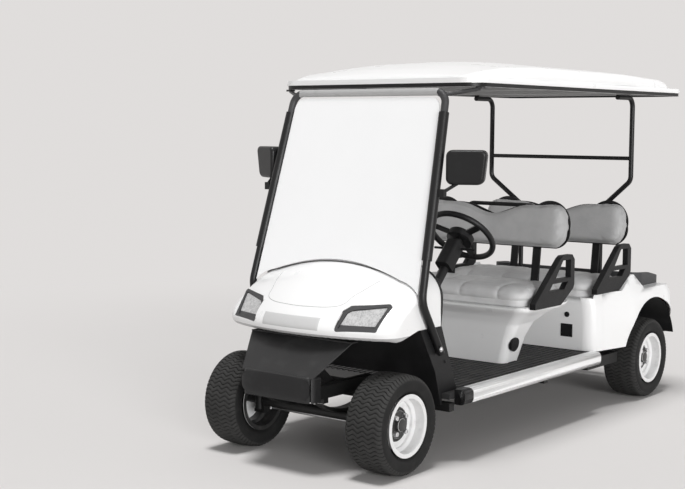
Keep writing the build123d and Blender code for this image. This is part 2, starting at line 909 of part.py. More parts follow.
def roof_plate(inset, z_low, z_high):
    """Return the roof's rounded plan as a plate, drawn in by inset."""
    width = 2 * (roof_half - inset)
    length = roof_rear - roof_front - 2 * inset
    centre_y = y_at((roof_front + roof_rear) / 2)
    plan = RectangleRounded(width, length, max(roof_corner - inset, roof_corner / 4))
    return Pos(0, centre_y, z_low) * extrude(plan, amount=z_high - z_low)


def make_roof():
    """Return the hollow roof moulding with its flange."""
    flange_top = roof_edge_z + roof_flange
    outer = loft([dome_section(row, 0) for row in dome_shares], ruled=True)
    inner = loft([dome_section(row, roof_wall) for row in dome_shares], ruled=True)
    flange = roof_plate(0, roof_edge_z, flange_top)
    lip = roof_plate(roof_wall, roof_edge_z - cut_overrun, flange_top - roof_wall)
    return outer + flange - inner - lip


def make_roof_frame():
    """Return the black frame under the roof's edge with its cross tubes."""
    z_low = roof_edge_z - frame_show
    z_high = z_low + frame_height
    ring = roof_plate(frame_inset, z_low, z_high) - roof_plate(
        frame_inset + frame_width, z_low - cut_overrun, z_high + cut_overrun
    )
    half = roof_half - frame_inset - frame_width / 2
    for share in (0.30, 0.62):
        y = roof_front + (roof_rear - roof_front) * share
        ring = ring + slab(-half, half, y, y + frame_cross, z_low, z_high)
    strut_cross = slab(
        -half, half, strut_y - frame_cross / 2, strut_y + frame_cross / 2, z_low, z_high
    )
    return ring + strut_cross


def make_struts():
    """Return the rear roof struts with their crossbar."""
    top_z = roof_edge_z - frame_show - strut_radius - seat_gap
    points = [
        (strut_x, strut_y - strut_foot_run, top_z),
        (strut_x, strut_y, top_z),
        (strut_x, strut_y, strut_knee_z),
        (strut_low_x, strut_low_y, strut_low_z),
        (strut_low_x, strut_low_y, shelf_z + seat_gap),
    ]
    strut = bent_tube(points, strut_radius, strut_bend)
    crossbar = bar((-strut_x, strut_y, strut_bar_z), (strut_x, strut_y, strut_bar_z), strut_radius * 0.8)
    return strut + mirrored(strut) + crossbar


# Mirrors


def make_mirrors():
    """Return the two door mirrors on their arms."""
    head = Box(mirror_width, mirror_depth, mirror_height)
    head = fillet(head.edges().filter_by(Axis.Y), mirror_radius)
    head = fillet(head.faces().sort_by(Axis.Y)[0].edges(), mirror_radius / 2)
    recess = Pos(0, mirror_depth / 2, 0) * Box(
        mirror_width - 2 * mirror_rim, 2 * mirror_glass_depth, mirror_height - 2 * mirror_rim
    )
    head = head - fillet(recess.edges().filter_by(Axis.Y), mirror_radius - mirror_rim)
    head = Pos(mirror_x, y_at(mirror_y), mirror_z) * Rot(0, 0, mirror_toe) * head
    foot_x, foot_y = pillar_line(mirror_foot_z)
    elbow_x = foot_x + 2 * sleeve_radius
    sleeve_lean = (pillar_foot_x - pillar_top_x) / (pillar_top_z - pillar_knee_z) * sleeve_radius
    foot = slab(
        foot_x + sleeve_radius + sleeve_lean + seat_gap, elbow_x + mirror_arm_radius,
        foot_y - sleeve_radius / 2, foot_y + sleeve_radius / 2,
        mirror_foot_z - sleeve_radius, mirror_foot_z + sleeve_radius / 2,
    )
    arm = bar(
        (elbow_x, foot_y, mirror_foot_z),
        (mirror_x - mirror_width / 5, mirror_y, mirror_z - mirror_height / 2 + mirror_rim),
        mirror_arm_radius,
    )
    return pair(head + foot + arm)


# Steering


def steer_plane():
    """Return the plane of the steering wheel, its Z towards the driver along the column."""
    axis = (0, math.cos(math.radians(steer_angle)), math.sin(math.radians(steer_angle)))
    return Plane(origin=(steer_x, y_at(steer_y), steer_z), x_dir=(1, 0, 0), z_dir=axis)


def make_steering_wheel():
    """Return the steering wheel with its hub and three spokes."""
    rim_circle = steer_diameter / 2 - steer_rim_radius
    rim = Torus(rim_circle, steer_rim_radius)
    hub = Pos(0, 0, -steer_hub_height / 2) * Cylinder(steer_hub_radius, steer_hub_height)
    wheel = rim + hub
    for index in range(spoke_count):
        angle = 360.0 / spoke_count * index + 90.0
        spoke = Pos(rim_circle / 2, 0, -spoke_thickness / 2) * Box(rim_circle, spoke_width, spoke_thickness)
        wheel = wheel + Rot(0, 0, angle) * spoke
    bore = Pos(0, 0, -steer_hub_height) * Cylinder(column_shaft_radius + running_gap, steer_hub_height)
    return steer_plane() * (wheel - bore)


def make_column():
    """Return the steering column with its shroud and stalks."""
    top = -steer_hub_height - running_gap
    tube = Pos(0, 0, top) * Cylinder(
        column_radius, column_length, align=(Align.CENTER, Align.CENTER, Align.MAX)
    )
    shaft = Pos(0, 0, top) * Cylinder(
        column_shaft_radius, steer_hub_height / 3, align=(Align.CENTER, Align.CENTER, Align.MIN)
    )
    shroud = Box(shroud_width, shroud_height, shroud_length, align=(Align.CENTER, Align.CENTER, Align.MAX))
    shroud = fillet(shroud.edges().filter_by(Axis.Z), column_radius)
    shroud = Pos(0, -column_radius / 2, top - shroud_drop) * shroud
    stalk = Pos(stalk_length / 2, 0, top - shroud_drop - column_radius) * Rot(0, 90, 0) * Cylinder(
        stalk_radius, stalk_length
    )
    column = steer_plane() * (tube + shaft + shroud + stalk + mirrored(stalk))
    clear = footwell_wall + seat_gap
    forward = side_prism(
        [
            (-cowl_length, footwell_top_z),
            (footwell_front_top + clear, footwell_top_z),
            (footwell_knee + clear, footwell_knee_z),
            (footwell_low_front + clear, footwell_low_z),
            (footwell_low_front + clear, 0),
            (-cowl_length, 0),
        ],
        -footwell_half,
        footwell_half,
    )
    below = slab(-footwell_half, footwell_half, -cowl_length, footwell_low_rear, 0, floor_top_z + seat_gap)
    column = column - below - forward
    return column.solids().sort_by(Axis.Z)[-1]


def make_pedals():
    """Return the brake and accelerator pedals on their arms from the toe board."""
    pedals = []
    for x, width in ((steer_x - pedal_width, pedal_width), (steer_x + pedal_width * 0.7, pedal_width * 0.7)):
        pad = Box(width, pedal_thickness, pedal_height)
        pad = Pos(x, y_at(pedal_y), pedal_z + pedal_height / 3) * Rot(-30, 0, 0) * pad
        stem = slab(
            x - pedal_arm, x + pedal_arm, pedal_y - pedal_thickness, pedal_y + pedal_thickness,
            floor_top_z + seat_gap, pedal_z + pedal_height / 3,
        )
        pedals.append(pad + stem)
    return Compound(children=[solid for pedal in pedals for solid in pedal.solids()])


# Seats

# Plan sections of the front podium as shares: height, half width, front and depth.
podium_shares = [
    # height, half_width, front, depth
    (0.000, 0.670, 0.155, 0.330),
    (0.440, 0.750, 0.145, 0.380),
    (0.680, 0.820, 0.125, 0.460),
    (0.820, 0.900, 0.085, 0.620),
    (0.900, 0.965, 0.035, 0.830),
    (0.950, 0.992, 0.006, 0.960),
    (1.000, 1.000, 0.000, 1.000),
]


def podium_section(shares, inset):
    """Return one plan outline of the front podium, drawn in by inset."""
    height, half_share, front_share, depth_share = shares
    top = podium_top_z - podium_base_z
    z = podium_base_z + height * top
    if inset and height == 0:
        z = z - cut_overrun
    if inset and height == 1:
        z = z - inset
    width = 2 * (podium_half * half_share - inset)
    front = podium_front + podium_depth * front_share + inset
    depth = podium_depth * depth_share - 2 * inset
    plan = RectangleRounded(width, depth, cushion_corner * half_share * 0.7)
    return Pos(0, y_at(front + depth / 2), z) * plan


def make_podium():
    """Return the hollow front seat podium with its tapered foot."""
    outer = loft([podium_section(row, 0) for row in podium_shares], ruled=True)
    inner = loft([podium_section(row, podium_wall) for row in podium_shares], ruled=True)
    return outer - inner - plug_cylinder(plug_radius + seat_gap, plug_depth)


def plug_cylinder(radius, depth):
    """Return the round plug in the podium's front corner on the driver's side."""
    place = Pos(plug_x, y_at(plug_y), plug_z)
    return place * Rot(0, plug_tilt, -plug_turn) * Cylinder(radius, depth)


def make_cushion(front, rear, low_z):
    """Return one plain bench cushion."""
    width = 2 * (podium_half - cushion_inset)
    plan = RectangleRounded(width, rear - front, cushion_corner)
    pad = Pos(0, y_at((front + rear) / 2), low_z) * extrude(plan, amount=cushion_height)
    return fillet(pad.faces().sort_by(Axis.Z)[-1].edges(), cushion_edge)


def back_outline(inset):
    """Return the backrest's front outline with its two lobes, drawn in by inset."""
    half = back_half - inset
    low = inset
    high = back_height - inset
    dip = high - back_dip
    lobe_x = half * 0.56
    corner = back_corner
    right = [
        ThreePointArc((0, dip), (lobe_x * 0.45, high - back_dip * 0.28), (lobe_x, high)),
        ThreePointArc((lobe_x, high), (half - corner * 0.34, high - corner * 0.32), (half, high * 0.5)),
        ThreePointArc((half, high * 0.5), (half - corner * 0.30, low + corner * 0.34), (half - corner, low)),
    ]
    left = [
        ThreePointArc((0, dip), (-lobe_x * 0.45, high - back_dip * 0.28), (-lobe_x, high)),
        ThreePointArc((-lobe_x, high), (-half + corner * 0.34, high - corner * 0.32), (-half, high * 0.5)),
        ThreePointArc((-half, high * 0.5), (-half + corner * 0.30, low + corner * 0.34), (-half + corner, low)),
    ]
    base = Line((half - corner, low), (-half + corner, low))
    return make_face(right + left + [base])


def back_plane(shift, drop):
    """Return the plane of a backrest's front face, leaning rearwards."""
    lean = math.radians(back_lean)
    return Plane(
        origin=(0, y_at(back_front_y + shift), back_low_z - drop),
        x_dir=(1, 0, 0),
        z_dir=(0, -math.cos(lean), math.sin(lean)),
    )


def make_backrest(shift, drop):
    """Return one plain two-lobed backrest pad."""
    edge = cushion_edge / 2
    pad = Pos(0, 0, -edge) * extrude(back_outline(0), amount=edge - back_thickness)
    crown = loft([Pos(0, 0, -edge) * back_outline(0), back_outline(edge)], ruled=True)
    return back_plane(shift, drop) * (pad + crown)


def make_back_shell(shift, drop, base_z, grab):
    """Return the black shell behind a backrest with its two posts, and a grab bar if asked."""
    plane = back_plane(shift, drop)
    shell = Pos(0, 0, -back_thickness - seat_gap) * extrude(back_outline(back_shell_inset), amount=-back_shell_wall)
    shell = plane * shell
    post_low = base_z - back_low_z
    post_high = back_height * 0.55
    for x in (-post_x, post_x):
        post = Pos(x, (post_low + post_high) / 2, -back_thickness - seat_gap - back_shell_wall - post_depth / 2) * Box(
            post_width, post_high - post_low, post_depth
        )
        shell = shell + plane * post
    shell = shell - slab(-podium_half, podium_half, 0, wheelbase, 0, base_z + seat_gap)
    if grab:
        shell_face = -back_thickness - seat_gap - grab_radius * 0.9
        bar_face = shell_face - grab_reach
        low = back_height * 0.62
        places = [
            (-grab_half, low, shell_face),
            (-grab_half, low + grab_rise, bar_face),
            (grab_half, low + grab_rise, bar_face),
            (grab_half, low, shell_face),
        ]
        route = [plane.from_local_coords(Vector(*place)) for place in places]
        shell = shell + tube_along(route, grab_radius, grab_rise / 3)
    return shell


def armrest(shift, base_z, lift):
    """Return one armrest on the driver's side, a slanted bar and an upright on a raked foot."""
    top_y = arm_rear_y - arm_bar
    brow_y = arm_hole_front_y + arm_top_z - arm_bar - arm_hole_z
    outer = [
        (arm_front_y, base_z),
        (arm_foot_y, base_z),
        (arm_knee_y, base_z + arm_knee_rise),
        (arm_rear_y, base_z + arm_knee_rise + arm_bar / 2),
        (arm_rear_y, arm_top_z + lift - arm_brow),
        (arm_rear_y - arm_brow, arm_top_z + lift),
        (brow_y, arm_top_z + lift),
        (brow_y - arm_brow, arm_top_z + lift - arm_brow / 2),
        (arm_front_y, arm_foot_top_z + lift),
    ]
    window = [
        (arm_hole_front_y, arm_hole_z + lift),
        (top_y, arm_hole_z + lift),
        (top_y, arm_top_z + lift - arm_brow),
        (brow_y, arm_top_z + lift - arm_brow),
    ]
    slot_high = arm_hole_z + lift - arm_web
    slot_rise = arm_hole_z - arm_web - arm_slot_low_z
    slot = [
        (arm_slot_front_y, arm_slot_low_z + lift),
        (arm_slot_front_y + slot_rise, slot_high),
        (arm_knee_y - 3 * arm_web, slot_high),
        (arm_knee_y - 3 * arm_web - slot_rise, arm_slot_low_z + lift),
    ]
    x_low = arm_x + seat_gap
    hoop = side_prism([(y + shift, z) for y, z in outer], x_low, x_low + arm_width)
    for hole in (window, slot):
        hoop = hoop - side_prism(
            [(y + shift, z) for y, z in hole], x_low - cut_overrun, x_low + arm_width + cut_overrun
        )
    return hoop


def make_armrests():
    """Return the four armrests."""
    front = pair(armrest(0, arm_base_z, 0))
    rear = pair(armrest(rear_arm_shift, fender_z + seat_gap, rear_arm_lift))
    return Compound(children=list(front.solids()) + list(rear.solids()))


# Rear body

# Plan sections of the rear body as shares: height between body_low_z and body_shoulder_z,
# half width at the fender and at the front face, and the two ends.
body_shares = [
    # height, half_width, front_half, front_y, rear_y
    (0.000, 0.985, 0.900, 0.000, 1.000),
    (0.400, 1.000, 0.900, 0.000, 1.000),
    (0.660, 0.985, 0.885, 0.002, 0.992),
    (0.820, 0.945, 0.860, 0.006, 0.975),
    (1.000, 0.900, 0.830, 0.012, 0.950),
]


def body_section(shares, inset):
    """Return one plan outline of the rear body, drawn in by inset."""
    height, half_share, front_half_share, front_share, rear_share = shares
    rise = body_shoulder_z - body_low_z
    z = body_low_z + rise * height
    if inset:
        z = z - inset if height else z - cut_overrun
    length = body_rear - body_front
    front = y_at(body_front + length * front_share + inset)
    rear = y_at(body_front + length * rear_share - inset)
    half = body_half * half_share - inset
    front_half = body_half * front_half_share - inset
    corner = body_corner
    flare = body_flare
    turn = body_corner * 0.75
    nose_half = front_half - turn * 0.9
    side = [
        Line((0, front, z), (nose_half, front, z)),
        ThreePointArc(
            (nose_half, front, z), (front_half - turn * 0.26, front + turn * 0.28, z), (front_half, front + turn, z)
        ),
        Line((front_half, front + turn, z), (half, front + flare, z)),
        Line((half, front + flare, z), (half, rear - corner * 1.6, z)),
        ThreePointArc(
            (half, rear - corner * 1.6, z), (half - corner * 0.34, rear - corner * 0.44, z), (half - corner * 1.4, rear, z)
        ),
        Line((half - corner * 1.4, rear, z), (0, rear, z)),
    ]
    other = [mirror(edge, about=Plane.YZ) for edge in side]
    return make_face(side + other)


def body_top_edge():
    """Return the body's top line over the fenders and the shelf as (y, z) points."""
    return [
        (body_front - cut_overrun, fender_z),
        (arm_foot_y + rear_arm_shift, fender_z),
        (arm_knee_y + rear_arm_shift, body_shoulder_z - seat_gap),
        (arm_knee_y + rear_arm_shift + arm_bar, body_shoulder_z - seat_gap),
        (shelf_front, shelf_z),
        (shelf_rear, shelf_z),
        (body_rear + cut_overrun, tail_edge_z),
    ]


def arch_cylinder(radius, x_low, x_high):
    """Return a cylinder across X about the centre of the rear wheel arch."""
    middle = (x_low + x_high) / 2
    place = Pos(middle, rear_axle_y + arch_shift, wheel_z + arch_lift)
    return place * Rot(0, 90, 0) * Cylinder(radius, x_high - x_low)


def make_rear_body():
    """Return the hollow rear body with wheel arches, seat pocket and bag well opening."""
    outer = loft([body_section(row, 0) for row in body_shares], ruled=True)
    inner = loft([body_section(row, body_wall) for row in body_shares], ruled=True)
    edge = body_top_edge()
    sky = [(edge[-1][0], body_shoulder_z + cut_overrun), (edge[0][0], body_shoulder_z + cut_overrun)]
    above = side_prism(edge + sky, -body_half * 2, body_half * 2)
    lower_edge = [(y, z - body_wall) for y, z in reversed(edge)]
    lid = side_prism(edge + lower_edge, -body_half * 2, body_half * 2)
    solid_outer = outer - above
    ledge_rear = back_front_y + rear_seat_shift + back_thickness + cushion_edge / 2
    cup = slab(
        -seat_pocket_half - body_wall, seat_pocket_half + body_wall, body_front, ledge_rear + body_wall,
        body_seat_z - body_wall, body_shoulder_z,
    )
    pocket = slab(
        -seat_pocket_half, seat_pocket_half, body_front - cut_overrun, ledge_rear,
        body_seat_z, body_shoulder_z + cut_overrun,
    )
    body = (solid_outer - inner) + (solid_outer & lid) + (solid_outer & cup) - pocket
    arch = arch_cylinder(arch_radius, liner_inner_x, body_half + cut_overrun)
    body = body - arch - mirrored(arch) - deck_block(seat_gap, deck_low_z - seat_gap, body_shoulder_z + cut_overrun)
    socket = slab(
        socket_x - socket_size / 2 - seat_gap, socket_x + socket_size / 2 + seat_gap,
        body_front - cut_overrun, body_front + cut_overrun,
        socket_z - socket_size / 2 - seat_gap, socket_z + socket_size / 2 + seat_gap,
    )
    key_hole = Pos(socket_x, y_at(body_front), key_hole_z) * Rot(90, 0, 0) * Cylinder(
        key_hole_radius + seat_gap, 2 * cut_overrun
    )
    lamp = tail_box(seat_gap)
    rail_half = rail_x + rail_width / 2 + seat_gap
    body = body - slab(
        -rail_half, rail_half, body_rear - 4 * body_wall, body_rear + cut_overrun,
        body_low_z - cut_overrun, rail_rear_z + rail_height + seat_gap,
    )
    return body - socket - key_hole - lamp - mirrored(lamp)


def tail_box(grow):
    """Return one tail lamp's block on the driver's side."""
    rear = body_rear + tail_depth / 4
    return slab(
        tail_x - tail_width / 2 - grow, tail_x + tail_width / 2 + grow,
        rear - tail_depth * 2, rear + (cut_overrun if grow else 0),
        tail_z - tail_height / 2 - grow, tail_z + tail_height / 2 + grow,
    )


def make_tail_lamps():
    """Return the two tail lamps."""
    return pair(tail_box(0))


def make_liners():
    """Return the black wheel arch liners with their mud flaps."""
    outer = arch_cylinder(arch_radius - seat_gap, liner_inner_x, liner_outer_x)
    inner = arch_cylinder(arch_radius - seat_gap - liner_wall, liner_inner_x + liner_wall, liner_outer_x + cut_overrun)
    centre = wheelbase + arch_shift
    low_cut = slab(
        liner_inner_x - cut_overrun, liner_outer_x + cut_overrun,
        centre - 2 * arch_radius, centre + 2 * arch_radius, -2 * arch_radius, flap_low_z,
    )
    axle_cut = slab(
        liner_inner_x - cut_overrun, liner_inner_x + liner_wall + cut_overrun,
        centre - arch_radius * 0.7, centre + arch_radius * 0.7, -cut_overrun, rail_rear_z + rail_height,
    )
    liner = outer - inner - low_cut - axle_cut
    return pair(liner)


def make_ports():
    """Return the charging socket, key switch and the podium's round plug."""
    socket = slab(
        socket_x - socket_size / 2, socket_x + socket_size / 2, body_front - body_wall / 2, body_front + 2 * body_wall,
        socket_z - socket_size / 2, socket_z + socket_size / 2,
    )
    key = Pos(socket_x, y_at(body_front + body_wall / 2), key_hole_z) * Rot(90, 0, 0) * Cylinder(
        key_hole_radius, 2 * body_wall
    )
    plug = plug_cylinder(plug_radius, plug_depth * 0.9)
    return Compound(children=[socket.solid(), key.solid(), plug.solid()])


def deck_block(grow, z_low, z_high):
    """Return the bag well's rounded plan as a block, drawn out by grow."""
    width = 2 * (deck_half + grow)
    length = deck_rear - deck_front + 2 * grow
    plan = RectangleRounded(width, length, deck_corner + grow)
    return Pos(0, y_at((deck_front + deck_rear) / 2), z_low) * extrude(plan, amount=z_high - z_low)


def make_deck():
    """Return the dark bag well behind the rear seat, its rim falling towards the tail."""
    tray = deck_block(0, deck_low_z, deck_front_z) - deck_block(-deck_rim, deck_low_z + deck_wall, deck_front_z)
    middle = (deck_front + deck_rear) / 2
    above = side_prism(
        [
            (deck_front - deck_rim, deck_front_z),
            (middle, deck_middle_z),
            (deck_rear + deck_rim, deck_rear_z),
            (deck_rear + deck_rim, deck_front_z + deck_rim),
            (deck_front - deck_rim, deck_front_z + deck_rim),
        ],
        -body_half,
        body_half,
    )
    return tray - above


# Axles and steering linkage


def leaf_spring(centre_y, centre_z, half_span, rise, x):
    """Return a curved leaf pack centred on an axle, its Y values from the front axle."""
    low = ThreePointArc(
        (y_at(centre_y - half_span), centre_z + rise), (y_at(centre_y), centre_z), (y_at(centre_y + half_span), centre_z + rise)
    )
    high = ThreePointArc(
        (y_at(centre_y + half_span), centre_z + rise + leaf_stack / 2),
        (y_at(centre_y), centre_z + leaf_stack),
        (y_at(centre_y - half_span), centre_z + rise + leaf_stack / 2),
    )
    face = make_face([low, Line(low @ 1, high @ 0), high, Line(high @ 1, low @ 0)])
    placed = Plane(origin=(x - leaf_width / 2, 0, 0), x_dir=(0, 1, 0), z_dir=(1, 0, 0)) * face
    return extrude(placed, amount=leaf_width, dir=(1, 0, 0))


def make_front_axle():
    """Return the front beam with its yokes, kingpins and leaf springs."""
    beam = bar((-kingpin_x + yoke_width / 2, 0, wheel_z), (kingpin_x - yoke_width / 2, 0, wheel_z), beam_radius)
    half_gap = yoke_gap / 2
    ear_low = kingpin_x - yoke_width / 2 - yoke_web
    yoke = slab(
        ear_low, ear_low + yoke_web, -yoke_depth / 2, yoke_depth / 2,
        wheel_z - half_gap - yoke_ear, wheel_z + half_gap + yoke_ear,
    )
    for z in (wheel_z - half_gap - yoke_ear, wheel_z + half_gap):
        yoke = yoke + slab(ear_low, kingpin_x + yoke_depth / 2, -yoke_depth / 2, yoke_depth / 2, z, z + yoke_ear)
    pin = Pos(kingpin_x, front_axle_y, wheel_z) * Cylinder(kingpin_radius, yoke_gap + 2 * yoke_ear)
    spring = leaf_spring(0, wheel_z + beam_radius - leaf_stack / 4, leaf_half_span, leaf_rise, rail_x)
    yoke = yoke + pin + spring
    return beam + yoke + mirrored(yoke)


def make_knuckle(side):
    """Return one steering knuckle with its spindle and rearward steering arm."""
    height = yoke_gap - 2 * running_gap
    block = Pos(kingpin_x, front_axle_y, wheel_z) * Cylinder(knuckle_radius, height)
    hub_end = front_track / 2 + disc_offset + hub_height / 2 - running_gap
    spindle = bar((kingpin_x, 0, wheel_z), (hub_end, 0, wheel_z), spindle_radius - running_gap / 10)
    arm = slab(
        kingpin_x - link_arm_width / 2, kingpin_x + link_arm_width / 2, 0, arm_length,
        link_arm_z(), link_arm_z() + arm_height,
    )
    tip = Pos(kingpin_x, y_at(arm_length), link_arm_z() + arm_height / 2) * Cylinder(link_arm_width / 2, arm_height)
    bore = Pos(kingpin_x, front_axle_y, wheel_z) * Cylinder(kingpin_radius + running_gap / 10, yoke_gap)
    pin_hole = Pos(kingpin_x, y_at(arm_length), link_arm_z()) * Cylinder(link_pin_radius + running_gap / 10, 4 * arm_height)
    knuckle = block + spindle + arm + tip - bore - pin_hole
    if side < 0:
        knuckle = mirrored(knuckle)
    return knuckle


def link_arm_z():
    """Return the height of the steering arm's lower face."""
    return wheel_z - yoke_gap / 2 + running_gap


def make_tie_rod():
    """Return the tie rod with an eye and a pin under each steering arm."""
    eye_height = arm_height
    z = link_arm_z() - running_gap - eye_height / 2
    rod = bar((-kingpin_x, arm_length, z), (kingpin_x, arm_length, z), link_radius - running_gap)
    for x in (-kingpin_x, kingpin_x):
        eye = Pos(x, y_at(arm_length), z) * Cylinder(link_eye_radius, eye_height)
        pin = Pos(x, y_at(arm_length), z + eye_height / 2) * Cylinder(
            link_pin_radius, arm_height, align=(Align.CENTER, Align.CENTER, Align.MIN)
        )
        rod = rod + eye + pin
    return rod


def make_rear_axle():
    """Return the rear axle with its differential, motor block, stub ends and springs."""
    hub_end = rear_track / 2 + disc_offset + hub_height / 2 - running_gap
    inner_end = rear_track / 2 - tyre_width / 4
    axle = bar((-inner_end, wheelbase, wheel_z), (inner_end, wheelbase, wheel_z), rear_beam_radius)
    stub = bar((-hub_end, wheelbase, wheel_z), (hub_end, wheelbase, wheel_z), spindle_radius - running_gap / 10)
    diff = bar((-diff_width / 2, wheelbase, wheel_z), (diff_width / 2, wheelbase, wheel_z), diff_radius)
    motor = bar(
        (-diff_width / 2, wheelbase - motor_shift, wheel_z), (motor_length - diff_width / 2, wheelbase - motor_shift, wheel_z),
        motor_radius,
    )
    gear = slab(
        -diff_width / 2, diff_width / 2, wheelbase - motor_shift, wheelbase, wheel_z - diff_radius / 2, wheel_z + diff_radius / 2
    )
    spring = leaf_spring(wheelbase, wheel_z + rear_beam_radius - leaf_stack / 4, rear_leaf_half_span, leaf_rise, rear_leaf_x)
    return axle + stub + diff + motor + gear + spring + mirrored(spring)


def make_battery():
    """Return the battery pack as one block on the rails."""
    low = rail_low_z + rail_height + seat_gap
    return slab(-battery_half, battery_half, battery_front, battery_rear, low, low + battery_height)


def build():
    """Build and write every sub-part."""
    make_wheels()
    save("chassis_frame", make_chassis())
    save("floor_panel", make_floor())
    save("side_sills", make_sills())
    save("front_cowl", make_cowl())
    save("headlamp_bezels", make_bezels())
    save("headlamp_lenses", make_lenses())
    save("front_valance", make_valance())
    save("footwell_shell", make_footwell())
    save("dashboard", make_dashboard())
    save("screen_hoop", make_hoop())
    save("windscreen", make_screen())
    save("roof_shell", make_roof())
    save("roof_frame", make_roof_frame())
    save("rear_struts", make_struts())
    save("mirrors", make_mirrors())
    save("steering_wheel", make_steering_wheel())
    save("steering_column", make_column())
    save("pedals", make_pedals())
    save("front_podium", make_podium())
    save("front_cushion", make_cushion(podium_front + cushion_inset, back_front_y + cushion_edge, podium_top_z + seat_gap))
    save("front_backrest", make_backrest(0, 0))
    save("front_back_shell", make_back_shell(0, 0, podium_top_z, True))
    save("armrests", make_armrests())
    save("rear_body", make_rear_body())
    save("rear_cushion", make_cushion(
        body_front + cushion_inset, back_front_y + rear_seat_shift + cushion_edge, body_seat_z + seat_gap))
    save("rear_backrest", make_backrest(rear_seat_shift, rear_seat_drop))
    save("rear_back_shell", make_back_shell(rear_seat_shift, rear_seat_drop, body_seat_z, False))
    save("wheel_arch_liners", make_liners())
    save("tail_lamps", make_tail_lamps())
    save("body_ports", make_ports())
    save("bag_deck", make_deck())
    save("front_axle", make_front_axle())
    save("knuckle_left", make_knuckle(1))
    save("knuckle_right", make_knuckle(-1))
    save("tie_rod", make_tie_rod())
    save("rear_axle", make_rear_axle())
    save("battery_block", make_battery())


build()
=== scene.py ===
"""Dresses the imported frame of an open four-seat electric cart for its studio view.

All lengths are in metres, with +Z up, the nose towards -Y and the driver on the +X side.
"""

from __future__ import annotations

import json
import logging
import math
from dataclasses import dataclass
from enum import Enum
from typing import Any, Callable, Sequence, Union

import bmesh
import bpy
from mathutils import Matrix, Vector
from mathutils.bvhtree import BVHTree

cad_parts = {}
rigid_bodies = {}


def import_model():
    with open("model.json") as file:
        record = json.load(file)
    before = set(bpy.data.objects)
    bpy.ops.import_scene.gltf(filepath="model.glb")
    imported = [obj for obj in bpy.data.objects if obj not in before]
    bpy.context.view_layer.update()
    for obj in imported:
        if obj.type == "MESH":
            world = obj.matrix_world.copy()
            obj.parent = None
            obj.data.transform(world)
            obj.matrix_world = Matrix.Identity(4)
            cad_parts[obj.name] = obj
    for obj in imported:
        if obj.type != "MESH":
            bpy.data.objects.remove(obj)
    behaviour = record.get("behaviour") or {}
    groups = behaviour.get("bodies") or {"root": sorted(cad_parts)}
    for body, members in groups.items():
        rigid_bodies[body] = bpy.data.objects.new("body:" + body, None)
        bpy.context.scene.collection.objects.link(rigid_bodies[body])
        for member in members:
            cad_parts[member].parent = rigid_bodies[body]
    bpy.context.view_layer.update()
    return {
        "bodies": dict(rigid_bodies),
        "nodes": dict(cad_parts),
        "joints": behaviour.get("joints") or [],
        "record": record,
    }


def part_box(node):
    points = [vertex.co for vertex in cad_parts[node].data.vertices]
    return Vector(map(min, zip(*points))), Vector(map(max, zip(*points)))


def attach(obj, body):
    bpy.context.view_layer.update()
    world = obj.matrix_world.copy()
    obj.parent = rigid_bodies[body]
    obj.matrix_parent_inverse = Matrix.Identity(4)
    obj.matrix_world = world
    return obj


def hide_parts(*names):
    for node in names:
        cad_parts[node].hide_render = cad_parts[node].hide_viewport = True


log = logging.getLogger("cart")

Number = Union[int, float]
Point = tuple[float, float, float]
Colour = tuple[float, float, float]
Span = tuple[float, float]
Table = tuple[Span, ...]
Piece = bpy.types.Object

FRONT_AXLE_Y = -1.250
ABOVE_HOOD = 1.2
AHEAD_OF_NOSE = -2.0
CHASSIS = "chassis"
CORNERS = ("front_left", "front_right", "rear_left", "rear_right")
SIDEWAYS = Vector((1, 0, 0))
UPWARD = Vector((0, 0, 1))


def from_axle(distance: float) -> float:
    """Return the Y of a station given as its distance behind the front axle."""
    return FRONT_AXLE_Y + distance


def grey(level: float) -> Colour:
    """Return a neutral colour of one level."""
    return (level, level, level)


def clamped(value: float) -> float:
    """Return a value held between 0 and 1."""
    return min(max(value, 0.0), 1.0)


def fall_off(share: float, power: float) -> float:
    """Return how far a rounded edge has dropped, from 0 to 1, at a share of its width."""
    return 1 - math.sqrt(max(0.0, 1 - share ** power))


def side_of(corner: str) -> int:
    """Return 1 for a wheel on the driver's side and -1 for one on the other."""
    return 1 if "left" in corner else -1


def wheel_place(corner: str) -> Matrix:
    """Return what moves a model of a left wheel's piece to a corner, mirrored on the right."""
    low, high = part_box(f"tyre_{corner}")
    return Matrix.Translation((low + high) / 2) @ Matrix.Scale(side_of(corner), 4, SIDEWAYS)


class Slot(Enum):
    """Material slots of the record."""

    FRAME = "black_steel"
    FLOOR = "floor_rubber"
    BODY = "white_plastic"
    TRIM = "dark_plastic"
    LENS = "lamp_lens"
    SCREEN = "clear_screen"
    SEAT = "seat_vinyl"
    RED = "red_lens"
    DECK = "grey_plastic"
    BRIGHT = "bright_steel"
    BATTERY = "battery_case"
    TYRE = "tyre_rubber"
    RIM = "white_rim"


